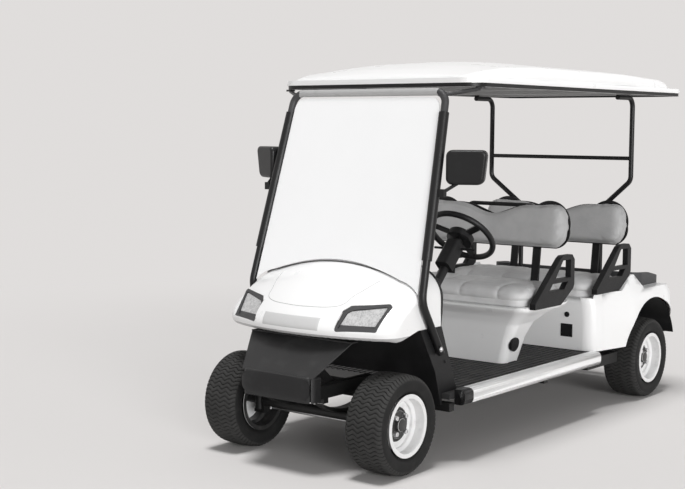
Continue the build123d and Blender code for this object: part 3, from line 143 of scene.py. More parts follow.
class Signal:
    """A node socket that takes part in arithmetic by adding Math nodes."""

    def __init__(self, shader: "Shader", socket: bpy.types.NodeSocket) -> None:
        """Wrap one output socket of a shader's node tree."""
        self.shader = shader
        self.socket = socket

    def _math(self, operation: str, *values: Union["Signal", Number]) -> "Signal":
        """Add a Math node.

        Args:
            operation: The Math node's operation.
            values: Its inputs, in order.

        Returns:
            The node's value.
        """
        return self.shader.add("ShaderNodeMath", {"operation": operation}, dict(enumerate(values)))

    def __add__(self, other: Union["Signal", Number]) -> "Signal":
        """Return self + other."""
        return self._math("ADD", self, other)

    def __radd__(self, other: Number) -> "Signal":
        """Return other + self."""
        return self._math("ADD", other, self)

    def __sub__(self, other: Union["Signal", Number]) -> "Signal":
        """Return self - other."""
        return self._math("SUBTRACT", self, other)

    def __rsub__(self, other: Number) -> "Signal":
        """Return other - self."""
        return self._math("SUBTRACT", other, self)

    def __mul__(self, other: Union["Signal", Number]) -> "Signal":
        """Return self * other."""
        return self._math("MULTIPLY", self, other)

    def __rmul__(self, other: Number) -> "Signal":
        """Return other * self."""
        return self._math("MULTIPLY", other, self)

    def root(self) -> "Signal":
        """Return the square root."""
        return self._math("SQRT", self)

    def sine(self) -> "Signal":
        """Return the sine of the value in radians."""
        return self._math("SINE", self)

    def rise(self, low: float, high: float) -> "Signal":
        """Return a smooth step.

        Args:
            low: The value below which the result is 0.
            high: The value above which the result is 1.

        Returns:
            The step, from 0 to 1.
        """
        settings = {"interpolation_type": "SMOOTHSTEP"}
        inputs = {0: self, 1: low, 2: high, 3: 0.0, 4: 1.0}
        return self.shader.add("ShaderNodeMapRange", settings, inputs)


class Shader:
    """A material's node tree, built by short calls."""

    def __init__(self, name: str) -> None:
        """Make an empty material with its output node.

        Args:
            name: The material's name.
        """
        self.material = bpy.data.materials.new(name)
        self.material.use_nodes = True
        self.tree = self.material.node_tree
        self.tree.nodes.clear()
        self.output = self.tree.nodes.new("ShaderNodeOutputMaterial")

    def node(
        self, kind: str, settings: dict[str, Any], inputs: dict[Any, Any],
    ) -> bpy.types.Node:
        """Add a node.

        Args:
            kind: The node's type.
            settings: Its properties, set first.
            inputs: Socket name or number to a value, a Signal or a socket.

        Returns:
            The new node.
        """
        made = self.tree.nodes.new(kind)
        for key, value in settings.items():
            setattr(made, key, value)
        for key, value in inputs.items():
            if isinstance(value, Signal):
                self.tree.links.new(value.socket, made.inputs[key])
            elif isinstance(value, bpy.types.NodeSocket):
                self.tree.links.new(value, made.inputs[key])
            else:
                made.inputs[key].default_value = value
        return made

    def add(
        self, kind: str, settings: dict[str, Any], inputs: dict[Any, Any], output: Any = 0,
    ) -> Signal:
        """Add a node and return one of its outputs as a Signal."""
        return Signal(self, self.node(kind, settings, inputs).outputs[output])

    def place(self, scale: Point = (1, 1, 1)) -> Signal:
        """Return object coordinates, each with its factor."""
        coordinates = self.add("ShaderNodeTexCoord", {}, {}, "Object")
        return self.add("ShaderNodeMapping", {}, {"Vector": coordinates, "Scale": scale})

    def axes(self) -> list[Signal]:
        """Return the three object coordinates."""
        split = self.node("ShaderNodeSeparateXYZ", {}, {0: self.place()})
        return [Signal(self, output) for output in split.outputs]

    def noise(self, size: float, detail: float = 3.0, stretch: Point = (1, 1, 1)) -> Signal:
        """Return noise from 0 to 1 with features of about one size.

        Args:
            size: The features' size in metres.
            detail: The number of finer octaves.
            stretch: Factors on the three coordinates.

        Returns:
            The noise value.
        """
        inputs = {"Vector": self.place(stretch), "Scale": 1.0 / size, "Detail": detail}
        return self.add("ShaderNodeTexNoise", {}, {**inputs, "Roughness": 0.55})

    def cells(self, size: float) -> Signal:
        """Return the distance within cells of about one size in metres."""
        inputs = {"Vector": self.place(), "Scale": 1.0 / size}
        return self.add("ShaderNodeTexVoronoi", {"feature": "F1"}, inputs, "Distance")

    def blend(self, factor: Signal, first: Any, second: Any) -> Signal:
        """Mix two colours.

        Args:
            factor: 0 gives the first colour and 1 the second.
            first: A colour of three numbers or a Signal.
            second: A colour of three numbers or a Signal.

        Returns:
            The mixed colour.
        """
        colours = {6: first, 7: second}
        inputs = {k: v if isinstance(v, Signal) else (*v, 1.0) for k, v in colours.items()}
        return self.add("ShaderNodeMix", {"data_type": "RGBA"}, {0: factor, **inputs}, 2)

    def relief(self, height: Signal, depth: float) -> Signal:
        """Return a normal bumped by a height signal over a depth in metres."""
        return self.add("ShaderNodeBump", {}, {"Height": height, "Distance": depth, "Strength": 1.0})

    def surface(self, inputs: dict[str, Any]) -> bpy.types.Material:
        """Close the material with a Principled shader of the given inputs.

        Args:
            inputs: Socket name to a value or a Signal.

        Returns:
            The finished material.
        """
        principled = self.node("ShaderNodeBsdfPrincipled", {}, inputs)
        self.tree.links.new(principled.outputs[0], self.output.inputs["Surface"])
        return self.material


@dataclass(frozen=True)
class GlossPanel:
    """Moulded plastic body panel with a glossy, slightly dusty white face."""

    name: str = "gloss_white_panel"
    colour: Colour = grey(0.90)
    dust: Colour = (0.60, 0.59, 0.57)
    roughness: float = 0.24
    dust_foot: float = 0.24
    dust_top: float = 0.52
    low_patches: Span = (0.35, 0.75)
    high_patches: Span = (0.55, 0.9)
    speck_patches: Span = (0.70, 0.80)
    low_weight: float = 0.16
    high_weight: float = 0.03
    speck_weight: float = 0.05
    peel_depth: float = 0.00006

    def make(self) -> bpy.types.Material:
        """Mix the finish.

        Returns:
            The finished material.
        """
        shader = Shader(self.name)
        height = shader.axes()[2]
        cloud = shader.noise(0.16, detail=4.0)
        low = 1.0 - height.rise(self.dust_foot, self.dust_top)
        film = (low * cloud.rise(*self.low_patches)) * self.low_weight
        haze = cloud.rise(*self.high_patches) * self.high_weight
        speck = shader.noise(0.0012, detail=1.0).rise(*self.speck_patches) * self.speck_weight
        return shader.surface({
            "Base Color": shader.blend(film + haze + speck, self.colour, self.dust),
            "Roughness": self.roughness + cloud * 0.10,
            "Coat Weight": 0.25,
            "Coat Roughness": 0.08,
            "Normal": shader.relief(shader.noise(0.004, detail=2.0), self.peel_depth),
        })


@dataclass(frozen=True)
class GrainedTrim:
    """Moulded trim with a pebbled grain, paler where it is worn."""

    name: str
    colour: Colour = (0.007, 0.007, 0.0075)
    wear: Colour = (0.022, 0.022, 0.023)
    grain: float = 0.0016
    depth: float = 0.00025
    roughness: float = 0.42
    patches: Span = (0.48, 0.78)
    patch_weight: float = 0.5
    grain_weight: float = 0.12

    def make(self) -> bpy.types.Material:
        """Mix the finish.

        Returns:
            The finished material.
        """
        shader = Shader(self.name)
        pebbles = shader.cells(self.grain)
        cloud = shader.noise(0.09, detail=5.0)
        worn = cloud.rise(*self.patches) * self.patch_weight + pebbles * self.grain_weight
        return shader.surface({
            "Base Color": shader.blend(worn, self.colour, self.wear),
            "Roughness": self.roughness + cloud * 0.16,
            "Specular IOR Level": 0.32,
            "Normal": shader.relief(pebbles, self.depth),
        })


@dataclass(frozen=True)
class PowderCoat:
    """Satin powder coat over steel tube, with a fine orange peel."""

    name: str
    colour: Colour = (0.006, 0.006, 0.0065)
    scuff: Colour = grey(0.030)
    roughness: float = 0.30
    streaks: Span = (0.66, 0.82)
    streak_weight: float = 0.45
    streak_stretch: Point = (1.0, 1.0, 0.25)
    peel_depth: float = 0.00008

    def make(self) -> bpy.types.Material:
        """Mix the finish.

        Returns:
            The finished material.
        """
        shader = Shader(self.name)
        peel = shader.noise(0.0022, detail=2.0)
        cloud = shader.noise(0.12, detail=4.0)
        streak = shader.noise(0.03, detail=5.0, stretch=self.streak_stretch).rise(*self.streaks)
        return shader.surface({
            "Base Color": shader.blend(streak * self.streak_weight, self.colour, self.scuff),
            "Roughness": self.roughness + cloud * 0.2,
            "Specular IOR Level": 0.35,
            "Normal": shader.relief(peel, self.peel_depth),
        })


@dataclass(frozen=True)
class SeatVinyl:
    """Grained marine vinyl with fine creases and a soft sheen."""

    name: str
    colour: Colour
    shade: Colour
    roughness: float = 0.42
    patches: Span = (0.35, 0.75)
    patch_weight: float = 0.6
    grain_weight: float = 0.25
    creases: Span = (0.40, 0.62)
    crease_stretch: Point = (1.0, 2.2, 1.0)
    crease_share: float = 0.6
    depth: float = 0.0006

    def make(self) -> bpy.types.Material:
        """Mix the finish.

        Returns:
            The finished material.
        """
        shader = Shader(self.name)
        grain = shader.cells(0.0021)
        crease = shader.noise(0.018, detail=6.0, stretch=self.crease_stretch)
        cloud = shader.noise(0.11, detail=3.0)
        shaded = cloud.rise(*self.patches) * self.patch_weight + grain * self.grain_weight
        folds = crease.rise(*self.creases) * self.crease_share
        return shader.surface({
            "Base Color": shader.blend(shaded, self.colour, self.shade),
            "Roughness": self.roughness + cloud * 0.12,
            "Sheen Weight": 0.08,
            "Normal": shader.relief(grain * (1 - self.crease_share) + folds, self.depth),
        })


@dataclass(frozen=True)
class TyreRubber:
    """Cured rubber, a little grey with dust."""

    name: str = "cured_tyre_rubber"
    colour: Colour = grey(0.009)
    dust: Colour = (0.022, 0.0215, 0.021)
    roughness: float = 0.66
    patches: Span = (0.42, 0.80)
    patch_weight: float = 0.55
    fine_weight: float = 0.10
    depth: float = 0.0003

    def make(self) -> bpy.types.Material:
        """Mix the finish.

        Returns:
            The finished material.
        """
        shader = Shader(self.name)
        cloud = shader.noise(0.05, detail=6.0)
        fine = shader.noise(0.0025, detail=3.0)
        dusty = cloud.rise(*self.patches) * self.patch_weight + fine * self.fine_weight
        return shader.surface({
            "Base Color": shader.blend(dusty, self.colour, self.dust),
            "Roughness": self.roughness + fine * 0.2,
            "Specular IOR Level": 0.3,
            "Normal": shader.relief(fine, self.depth),
        })


@dataclass(frozen=True)
class Enamel:
    """Baked enamel on pressed steel."""

    name: str
    colour: Colour = grey(0.82)
    grime: Colour = (0.30, 0.29, 0.28)
    roughness: float = 0.28
    patches: Span = (0.50, 0.85)
    flecks: Span = (0.68, 0.78)
    patch_weight: float = 0.35
    fleck_weight: float = 0.15
    depth: float = 0.00008

    def make(self) -> bpy.types.Material:
        """Mix the finish.

        Returns:
            The finished material.
        """
        shader = Shader(self.name)
        cloud = shader.noise(0.035, detail=5.0)
        fleck = shader.noise(0.0035, detail=2.0).rise(*self.flecks)
        dirty = cloud.rise(*self.patches) * self.patch_weight + fleck * self.fleck_weight
        return shader.surface({
            "Base Color": shader.blend(dirty, self.colour, self.grime),
            "Roughness": self.roughness + cloud * 0.15,
            "Coat Weight": 0.3,
            "Normal": shader.relief(shader.noise(0.003, detail=2.0), self.depth),
        })


@dataclass(frozen=True)
class PlatedSteel:
    """Zinc or chrome plate with faint turning marks."""

    name: str = "zinc_plate"
    colour: Colour = (0.60, 0.60, 0.61)
    tarnish: Colour = (0.36, 0.35, 0.34)
    roughness: float = 0.24
    patches: Span = (0.45, 0.8)
    patch_weight: float = 0.5
    mark_stretch: Point = (1.0, 1.0, 6.0)
    depth: float = 0.00005

    def make(self) -> bpy.types.Material:
        """Mix the finish.

        Returns:
            The finished material.
        """
        shader = Shader(self.name)
        marks = shader.noise(0.0016, detail=4.0, stretch=self.mark_stretch)
        dull = shader.noise(0.012, detail=3.0)
        stained = dull.rise(*self.patches) * self.patch_weight
        return shader.surface({
            "Base Color": shader.blend(stained, self.colour, self.tarnish),
            "Metallic": 1.0,
            "Roughness": self.roughness + dull * 0.2,
            "Normal": shader.relief(marks, self.depth),
        })


@dataclass(frozen=True)
class RibbedMat:
    """Rubber floor mat, dull and a little dusty."""

    name: str = "ribbed_floor_mat"
    colour: Colour = (0.020, 0.020, 0.021)
    dust: Colour = (0.11, 0.105, 0.10)
    roughness: float = 0.50
    patches: Span = (0.45, 0.85)
    patch_weight: float = 0.5
    fine_weight: float = 0.08
    depth: float = 0.0004

    def make(self) -> bpy.types.Material:
        """Mix the finish.

        Returns:
            The finished material.
        """
        shader = Shader(self.name)
        cloud = shader.noise(0.14, detail=5.0)
        fine = shader.noise(0.003, detail=3.0)
        dusty = cloud.rise(*self.patches) * self.patch_weight + fine * self.fine_weight
        return shader.surface({
            "Base Color": shader.blend(dusty, self.colour, self.dust),
            "Roughness": self.roughness + fine * 0.25,
            "Normal": shader.relief(fine, self.depth),
        })


@dataclass(frozen=True)
class ScreenSheet:
    """Cast acrylic windscreen, drawn as a nearly opaque pale sheet with a faint glow: the studio's
    white reflected in it is painted in.
    """

    name: str = "windscreen_painted_reflection"
    colour: Colour = (0.885, 0.89, 0.895)
    cover: float = 0.95
    roughness: float = 0.06
    # strength of a painted white glow
    glow: float = 0.06

    def make(self) -> bpy.types.Material:
        """Mix the finish.

        Returns:
            The finished material.
        """
        shader = Shader(self.name)
        cloud = shader.noise(0.30, detail=2.0)
        return shader.surface({
            # painted reflection: the pale colour, the high cover and the white emission stand in for
            # the studio reflected in clear acrylic
            "Base Color": (*self.colour, 1.0),
            "Roughness": self.roughness + cloud * 0.03,
            "Alpha": self.cover + cloud * 0.04,
            "Emission Color": (1.0, 1.0, 1.0, 1.0),
            "Emission Strength": self.glow,
            "Coat Weight": 0.5,
            "Coat Roughness": 0.03,
        })


@dataclass(frozen=True)
class PebbledLens:
    """Clear polycarbonate lens with a pebbled back over a bright reflector."""

    name: str = "fluted_headlamp_lens"
    colour: Colour = grey(0.58)
    dark: Colour = (0.33, 0.33, 0.335)
    pebble: float = 0.0085
    patches: Span = (0.2, 0.9)
    pebble_weight: float = 0.55
    cloud_weight: float = 0.75
    depth: float = 0.0010

    def make(self) -> bpy.types.Material:
        """Mix the finish.

        Returns:
            The finished material.
        """
        shader = Shader(self.name)
        pebbles = shader.cells(self.pebble)
        cloud = shader.noise(self.pebble * 3.0, detail=3.0)
        mask = pebbles * self.pebble_weight + cloud * self.cloud_weight
        return shader.surface({
            "Base Color": shader.blend(mask.rise(*self.patches), self.dark, self.colour),
            "Roughness": 0.16,
            "Coat Weight": 1.0,
            "Coat Roughness": 0.03,
            "Normal": shader.relief(pebbles, self.depth),
        })


@dataclass(frozen=True)
class ColouredLens:
    """Coloured lamp plastic with small prisms behind a smooth face."""

    name: str
    colour: Colour
    deep: Colour
    turns_per_metre: float = 780.0
    depth: float = 0.0006

    def make(self) -> bpy.types.Material:
        """Mix the finish.

        Returns:
            The finished material.
        """
        shader = Shader(self.name)
        _, across, up = ((axis * self.turns_per_metre).sine() for axis in shader.axes())
        prisms = (across * up) * 0.5 + 0.5
        return shader.surface({
            "Base Color": shader.blend(prisms, self.deep, self.colour),
            "Roughness": 0.14,
            "Coat Weight": 0.8,
            "Coat Roughness": 0.04,
            "Normal": shader.relief(prisms, self.depth),
        })


@dataclass(frozen=True)
class MirrorGlass:
    """Silvered mirror glass with the faintest film of dust."""

    name: str = "silvered_mirror"
    colour: Colour = (0.86, 0.87, 0.88)
    dust: Colour = grey(0.70)
    roughness: float = 0.03

    def make(self) -> bpy.types.Material:
        """Mix the finish.

        Returns:
            The finished material.
        """
        shader = Shader(self.name)
        film = shader.noise(0.04, detail=4.0)
        return shader.surface({
            "Base Color": shader.blend(film * 0.2, self.colour, self.dust),
            "Metallic": 1.0,
            "Roughness": self.roughness + film * 0.05,
        })


class Finishes:
    """All the cart's materials, made once."""

    def __init__(self) -> None:
        """Make each material."""
        self.panel = GlossPanel().make()
        # painted shade: a grey panel finish stands in for the shade on the cowl's downward-facing
        # lower lip
        self.lip = GlossPanel("lower_lip_painted_shade", grey(0.46), grey(0.40)).make()
        self.trim = GrainedTrim("grained_black_trim").make()
        self.smooth_trim = GrainedTrim(
            "smooth_black_trim", grain=0.0008, depth=0.0001, roughness=0.30,
        ).make()
        self.valance = GrainedTrim(
            "valance_black", (0.016, 0.016, 0.0165), grey(0.040), roughness=0.36,
        ).make()
        self.grey_deck = GrainedTrim("grained_grey_deck", (0.055, 0.055, 0.058), grey(0.12)).make()
        self.bezel = GrainedTrim(
            "lamp_bezel_grey", (0.040, 0.040, 0.042), grey(0.08), 0.0007, 0.0001, 0.35,
        ).make()
        self.seal = GrainedTrim("grey_seal_rubber", grey(0.085), grey(0.14)).make()
        self.battery = GrainedTrim("battery_case_black", grey(0.03)).make()
        self.frame = PowderCoat("satin_black_tube").make()
        self.running_gear = PowderCoat(
            "black_running_gear", grey(0.008), (0.060, 0.055, 0.050), 0.42,
        ).make()
        self.seat = SeatVinyl("pale_seat_vinyl", grey(0.70), (0.56, 0.56, 0.565)).make()
        # the backrest vinyl is darker than the cushion's: partly its own grey tone, partly painted
        # shade on the upright faces
        self.back = SeatVinyl("back_vinyl_part_painted_shade", grey(0.46), (0.38, 0.38, 0.385)).make()
        self.tyre = TyreRubber().make()
        self.tread = TyreRubber(
            "dusty_tread_rubber", (0.028, 0.0278, 0.0272), (0.050, 0.049, 0.048),
        ).make()
        self.rim = Enamel("white_rim_enamel").make()
        self.hub = Enamel("black_hub_enamel", grey(0.018), (0.10, 0.09, 0.08), 0.35).make()
        self.pad = Enamel("blank_pad_grey", grey(0.60), grey(0.52), 0.4).make()
        # painted shade: grey for the line along the hood's crease
        self.gap = Enamel("crease_painted_shade", grey(0.42), grey(0.34), 0.5).make()
        # painted shade: grey for the roof's underside, which is white and only in shade
        self.underside_shade = Enamel("roof_underside_painted_shade", grey(0.40), grey(0.30), 0.5).make()
        # pale grey across the hoop's top, above a dark grey band
        self.hoop_top = Enamel("hoop_top_pale_grey", grey(0.42), grey(0.20), 0.4).make()
        self.plate = PlatedSteel().make()
        self.floor = RibbedMat().make()
        self.screen = ScreenSheet().make()
        self.lens = PebbledLens().make()
        self.red = ColouredLens("red_tail_lens", (0.42, 0.02, 0.015), (0.16, 0.005, 0.005)).make()
        self.mirror = MirrorGlass().make()


class Bench:
    """Modelling steps that every sub-assembly uses."""

    @staticmethod
    def only(piece: Piece) -> None:
        """Select one piece alone and make it the active one.

        Args:
            piece: The piece to work on.
        """
        if bpy.context.object is not None and bpy.context.object.mode != "OBJECT":
            bpy.ops.object.mode_set(mode="OBJECT")
        bpy.ops.object.select_all(action="DESELECT")
        piece.select_set(True)
        bpy.context.view_layer.objects.active = piece

    @staticmethod
    def placed(name: str, data: bpy.types.ID) -> Piece:
        """Add an object with the given data to the scene.

        Args:
            name: The object's name.
            data: Its mesh or curve.

        Returns:
            The new object.
        """
        piece = bpy.data.objects.new(name, data)
        bpy.context.scene.collection.objects.link(piece)
        return piece

    @staticmethod
    def aimed(place: Sequence[float], way: Sequence[float]) -> Matrix:
        """Return what moves a piece that was turned about X to a place, with X along a way."""
        turn = SIDEWAYS.rotation_difference(Vector(way)).to_matrix().to_4x4()
        return Matrix.Translation(place) @ turn

    @staticmethod
    def named(name: str) -> Piece:
        """Name the object that an operator has just added.

        Args:
            name: The name for the object and its mesh.

        Returns:
            The named object.
        """
        piece = bpy.context.object
        piece.name = name
        piece.data.name = name
        return piece

    @staticmethod
    def modify(piece: Piece, kind: str, **settings: Any) -> None:
        """Add a modifier and apply it.

        Args:
            piece: The piece.
            kind: The modifier's type.
            settings: Its properties.
        """
        Bench.only(piece)
        modifier = piece.modifiers.new(kind.lower(), kind)
        for key, value in settings.items():
            setattr(modifier, key, value)
        bpy.ops.object.modifier_apply(modifier=modifier.name)

    @staticmethod
    def merge(piece: Piece, distance: float = 1e-5, flat: float = 0.0) -> None:
        """Weld a mesh's doubles.

        Args:
            piece: The piece to weld.
            distance: Vertices closer than this become one.
            flat: Edges that turn less than this many degrees are dissolved.
        """
        Bench.only(piece)
        bpy.ops.object.mode_set(mode="EDIT")
        bpy.ops.mesh.select_all(action="SELECT")
        bpy.ops.mesh.remove_doubles(threshold=distance)
        if flat:
            bpy.ops.mesh.dissolve_limited(angle_limit=math.radians(flat))
        bpy.ops.object.mode_set(mode="OBJECT")

    @staticmethod
    def outward(piece: Piece) -> None:
        """Turn all faces of a closed mesh outwards.

        Args:
            piece: The piece to turn.
        """
        Bench.only(piece)
        bpy.ops.object.mode_set(mode="EDIT")
        bpy.ops.mesh.select_all(action="SELECT")
        bpy.ops.mesh.normals_make_consistent(inside=False)
        bpy.ops.object.mode_set(mode="OBJECT")

    @staticmethod
    def smooth(piece: Piece, degrees: float = 32.0) -> None:
        """Shade a piece smooth, apart from edges sharper than an angle."""
        Bench.only(piece)
        bpy.ops.object.shade_smooth_by_angle(angle=math.radians(degrees))

    @staticmethod
    def dress(piece: Piece, *materials: bpy.types.Material) -> None:
        """Give a piece its materials; a single material goes on every face.

        Args:
            piece: The piece.
            materials: Its materials, in the order of their slots.
        """
        piece.data.materials.clear()
        for material in materials:
            piece.data.materials.append(material)
        if len(materials) == 1:
            for face in piece.data.polygons:
                face.material_index = 0

    @staticmethod
    def paint(piece: Piece, index: int, where: Callable[[Vector, Vector], bool]) -> None:
        """Give one of a piece's materials to the faces whose centre and normal pass a test.

        Args:
            piece: The piece.
            index: The material's slot.
            where: The test of a face.
        """
        for face in piece.data.polygons:
            if where(face.center, face.normal):
                face.material_index = index

    @staticmethod
    def slice(piece: Piece, point: Vector, normal: Vector) -> None:
        """Cut edges through a piece along a plane, and keep both sides.

        Args:
            piece: The piece.
            point: A point of the plane.
            normal: The plane's normal.
        """
        mesh = bmesh.new()
        mesh.from_mesh(piece.data)
        geometry = mesh.verts[:] + mesh.edges[:] + mesh.faces[:]
        bmesh.ops.bisect_plane(mesh, geom=geometry, plane_co=point, plane_no=normal)
        mesh.to_mesh(piece.data)
        mesh.free()

    @staticmethod
    def rounded(points: Sequence[Vector], steps: int) -> list[Vector]:
        """Return a smooth line through points, with steps between each two.

        Args:
            points: The points to pass through.
            steps: The steps between each two.

        Returns:
            The line's points.
        """
        line = []
        for index in range(len(points) - 1):
            first, second = points[index], points[index + 1]
            before = points[max(index - 1, 0)]
            after = points[min(index + 2, len(points) - 1)]
            for step in range(steps):
                t = step / steps
                line.append(0.5 * (
                    2 * first + (second - before) * t
                    + (2 * before - 5 * first + 4 * second - after) * t ** 2
                    + (3 * first - before - 3 * second + after) * t ** 3
                ))
        return line + [points[-1].copy()]

    @staticmethod
    def tube(name: str, points: Sequence[Vector], radius: float, sides: int = 2) -> Piece:
        """Run a round tube along points.

        Args:
            name: The piece's name.
            points: The tube's middle line.
            radius: Its radius.
            sides: How finely it is rounded.

        Returns:
            The tube.
        """
        curve = bpy.data.curves.new(name, "CURVE")
        curve.dimensions = "3D"
        curve.bevel_depth = radius
        curve.bevel_resolution = sides
        curve.use_fill_caps = True
        spline = curve.splines.new("POLY")
        spline.points.add(len(points) - 1)
        for knot, point in zip(spline.points, points):
            knot.co = (*point, 1.0)
        Bench.only(Bench.placed(name, curve))
        bpy.ops.object.convert(target="MESH")
        piece = Bench.named(name)
        Bench.smooth(piece, 60.0)
        return piece

    @staticmethod
    def sheet(
        name: str, across: int, along: int, place: Callable[[float, float], Vector],
    ) -> Piece:
        """Shape a grid into a curved sheet.

        Args:
            name: The piece's name.
            across: The number of faces in the first direction.
            along: The number of faces in the second direction.
            place: Gives the point for two shares from 0 to 1.

        Returns:
            The sheet, one face thick.
        """
        bpy.ops.object.select_all(action="DESELECT")
        bpy.ops.mesh.primitive_grid_add(x_subdivisions=across, y_subdivisions=along, size=2.0)
        piece = Bench.named(name)
        for vertex in piece.data.vertices:
            vertex.co = place((vertex.co.x + 1) / 2, (vertex.co.y + 1) / 2)
        return piece

    @staticmethod
    def ring(name: str, outline: Sequence[Span], steps: int) -> Piece:
        """Spin an outline about the X axis.

        Args:
            name: The piece's name.
            outline: Its points as offset along X and radius.
            steps: The number of steps round the circle.

        Returns:
            The turned piece, centred on the origin.
        """
        bpy.ops.object.select_all(action="DESELECT")
        bpy.ops.mesh.primitive_circle_add(vertices=len(outline), radius=1.0)
        piece = Bench.named(name)
        for vertex, (offset, radius) in zip(piece.data.vertices, outline):
            vertex.co = (offset, 0.0, radius)
        bpy.ops.object.mode_set(mode="EDIT")
        mesh = bmesh.from_edit_mesh(piece.data)
        ends = {0, len(outline) - 1}
        seam = [edge for edge in mesh.edges if {v.index for v in edge.verts} == ends]
        bmesh.ops.delete(mesh, geom=seam, context="EDGES_FACES")
        bmesh.update_edit_mesh(piece.data)
        bpy.ops.mesh.select_all(action="SELECT")
        bpy.ops.mesh.spin(steps=steps, angle=math.tau, center=(0, 0, 0), axis=(1, 0, 0))
        bpy.ops.mesh.select_all(action="SELECT")
        bpy.ops.mesh.remove_doubles(threshold=1e-5)
        bpy.ops.mesh.normals_make_consistent(inside=False)
        bpy.ops.object.mode_set(mode="OBJECT")
        return piece

    @staticmethod
    def join(name: str, pieces: Sequence[Piece]) -> Piece:
        """Join pieces into one object.

        Args:
            name: The joined piece's name.
            pieces: The pieces.

        Returns:
            The joined piece.
        """
        Bench.only(pieces[0])
        for piece in pieces[1:]:
            piece.select_set(True)
        bpy.ops.object.join()
        return Bench.named(name)

    @staticmethod
    def copied(piece: Piece, name: str, change: Matrix) -> Piece:
        """Copy a piece with its own mesh, moved or mirrored by a matrix.

        Args:
            piece: The piece to copy.
            name: The copy's name.
            change: The matrix for its mesh.

        Returns:
            The copy.
        """
        twin = Bench.placed(name, piece.data.copy())
        twin.data.transform(change)
        if change.determinant() < 0:
            twin.data.flip_normals()
        return twin

    @staticmethod
    def seat(piece: Piece, body: str, slot: Slot, *nodes: str) -> None:
        """Put a piece on its body in place of CAD nodes, and report it.

        Args:
            piece: The piece.
            body: The body that carries it.
            slot: The record's slot; not used.
            nodes: The CAD nodes that it replaces.
        """
        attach(piece, body)
        if nodes:
            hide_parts(*nodes)
        log.info("%s on %s, %d faces", piece.name, body, len(piece.data.polygons))


@dataclass
class Carried:
    """A CAD node that is shown as a welded, smooth-shaded copy with eased edges."""

    node: str
    piece: str
    body: str
    slot: Slot
    material: bpy.types.Material
    crease: float = 32.0
    ease: float = 0.0
    ease_angle: float = 40.0
    weld: float = 2e-5
    flat: float = 0.6

    def build(self, frame: dict[str, Any]) -> Piece:
        """Build the copy.


        Returns:
            The dressed copy, which replaces the node.
        """
        source = frame["nodes"][self.node]
        copy = Bench.placed(self.piece, source.data.copy())
        Bench.merge(copy, self.weld, self.flat if self.ease else 0.0)
        if self.ease:
            Bench.modify(
                copy, "BEVEL", width=self.ease, segments=2, limit_method="ANGLE",
                angle_limit=math.radians(self.ease_angle), use_clamp_overlap=True,
                harden_normals=False,
            )
        Bench.smooth(copy, self.crease)
        Bench.modify(copy, "WEIGHTED_NORMAL", keep_sharp=True, weight=80)
        Bench.dress(copy, self.material)
        Bench.seat(copy, self.body, self.slot, self.node)
        return copy


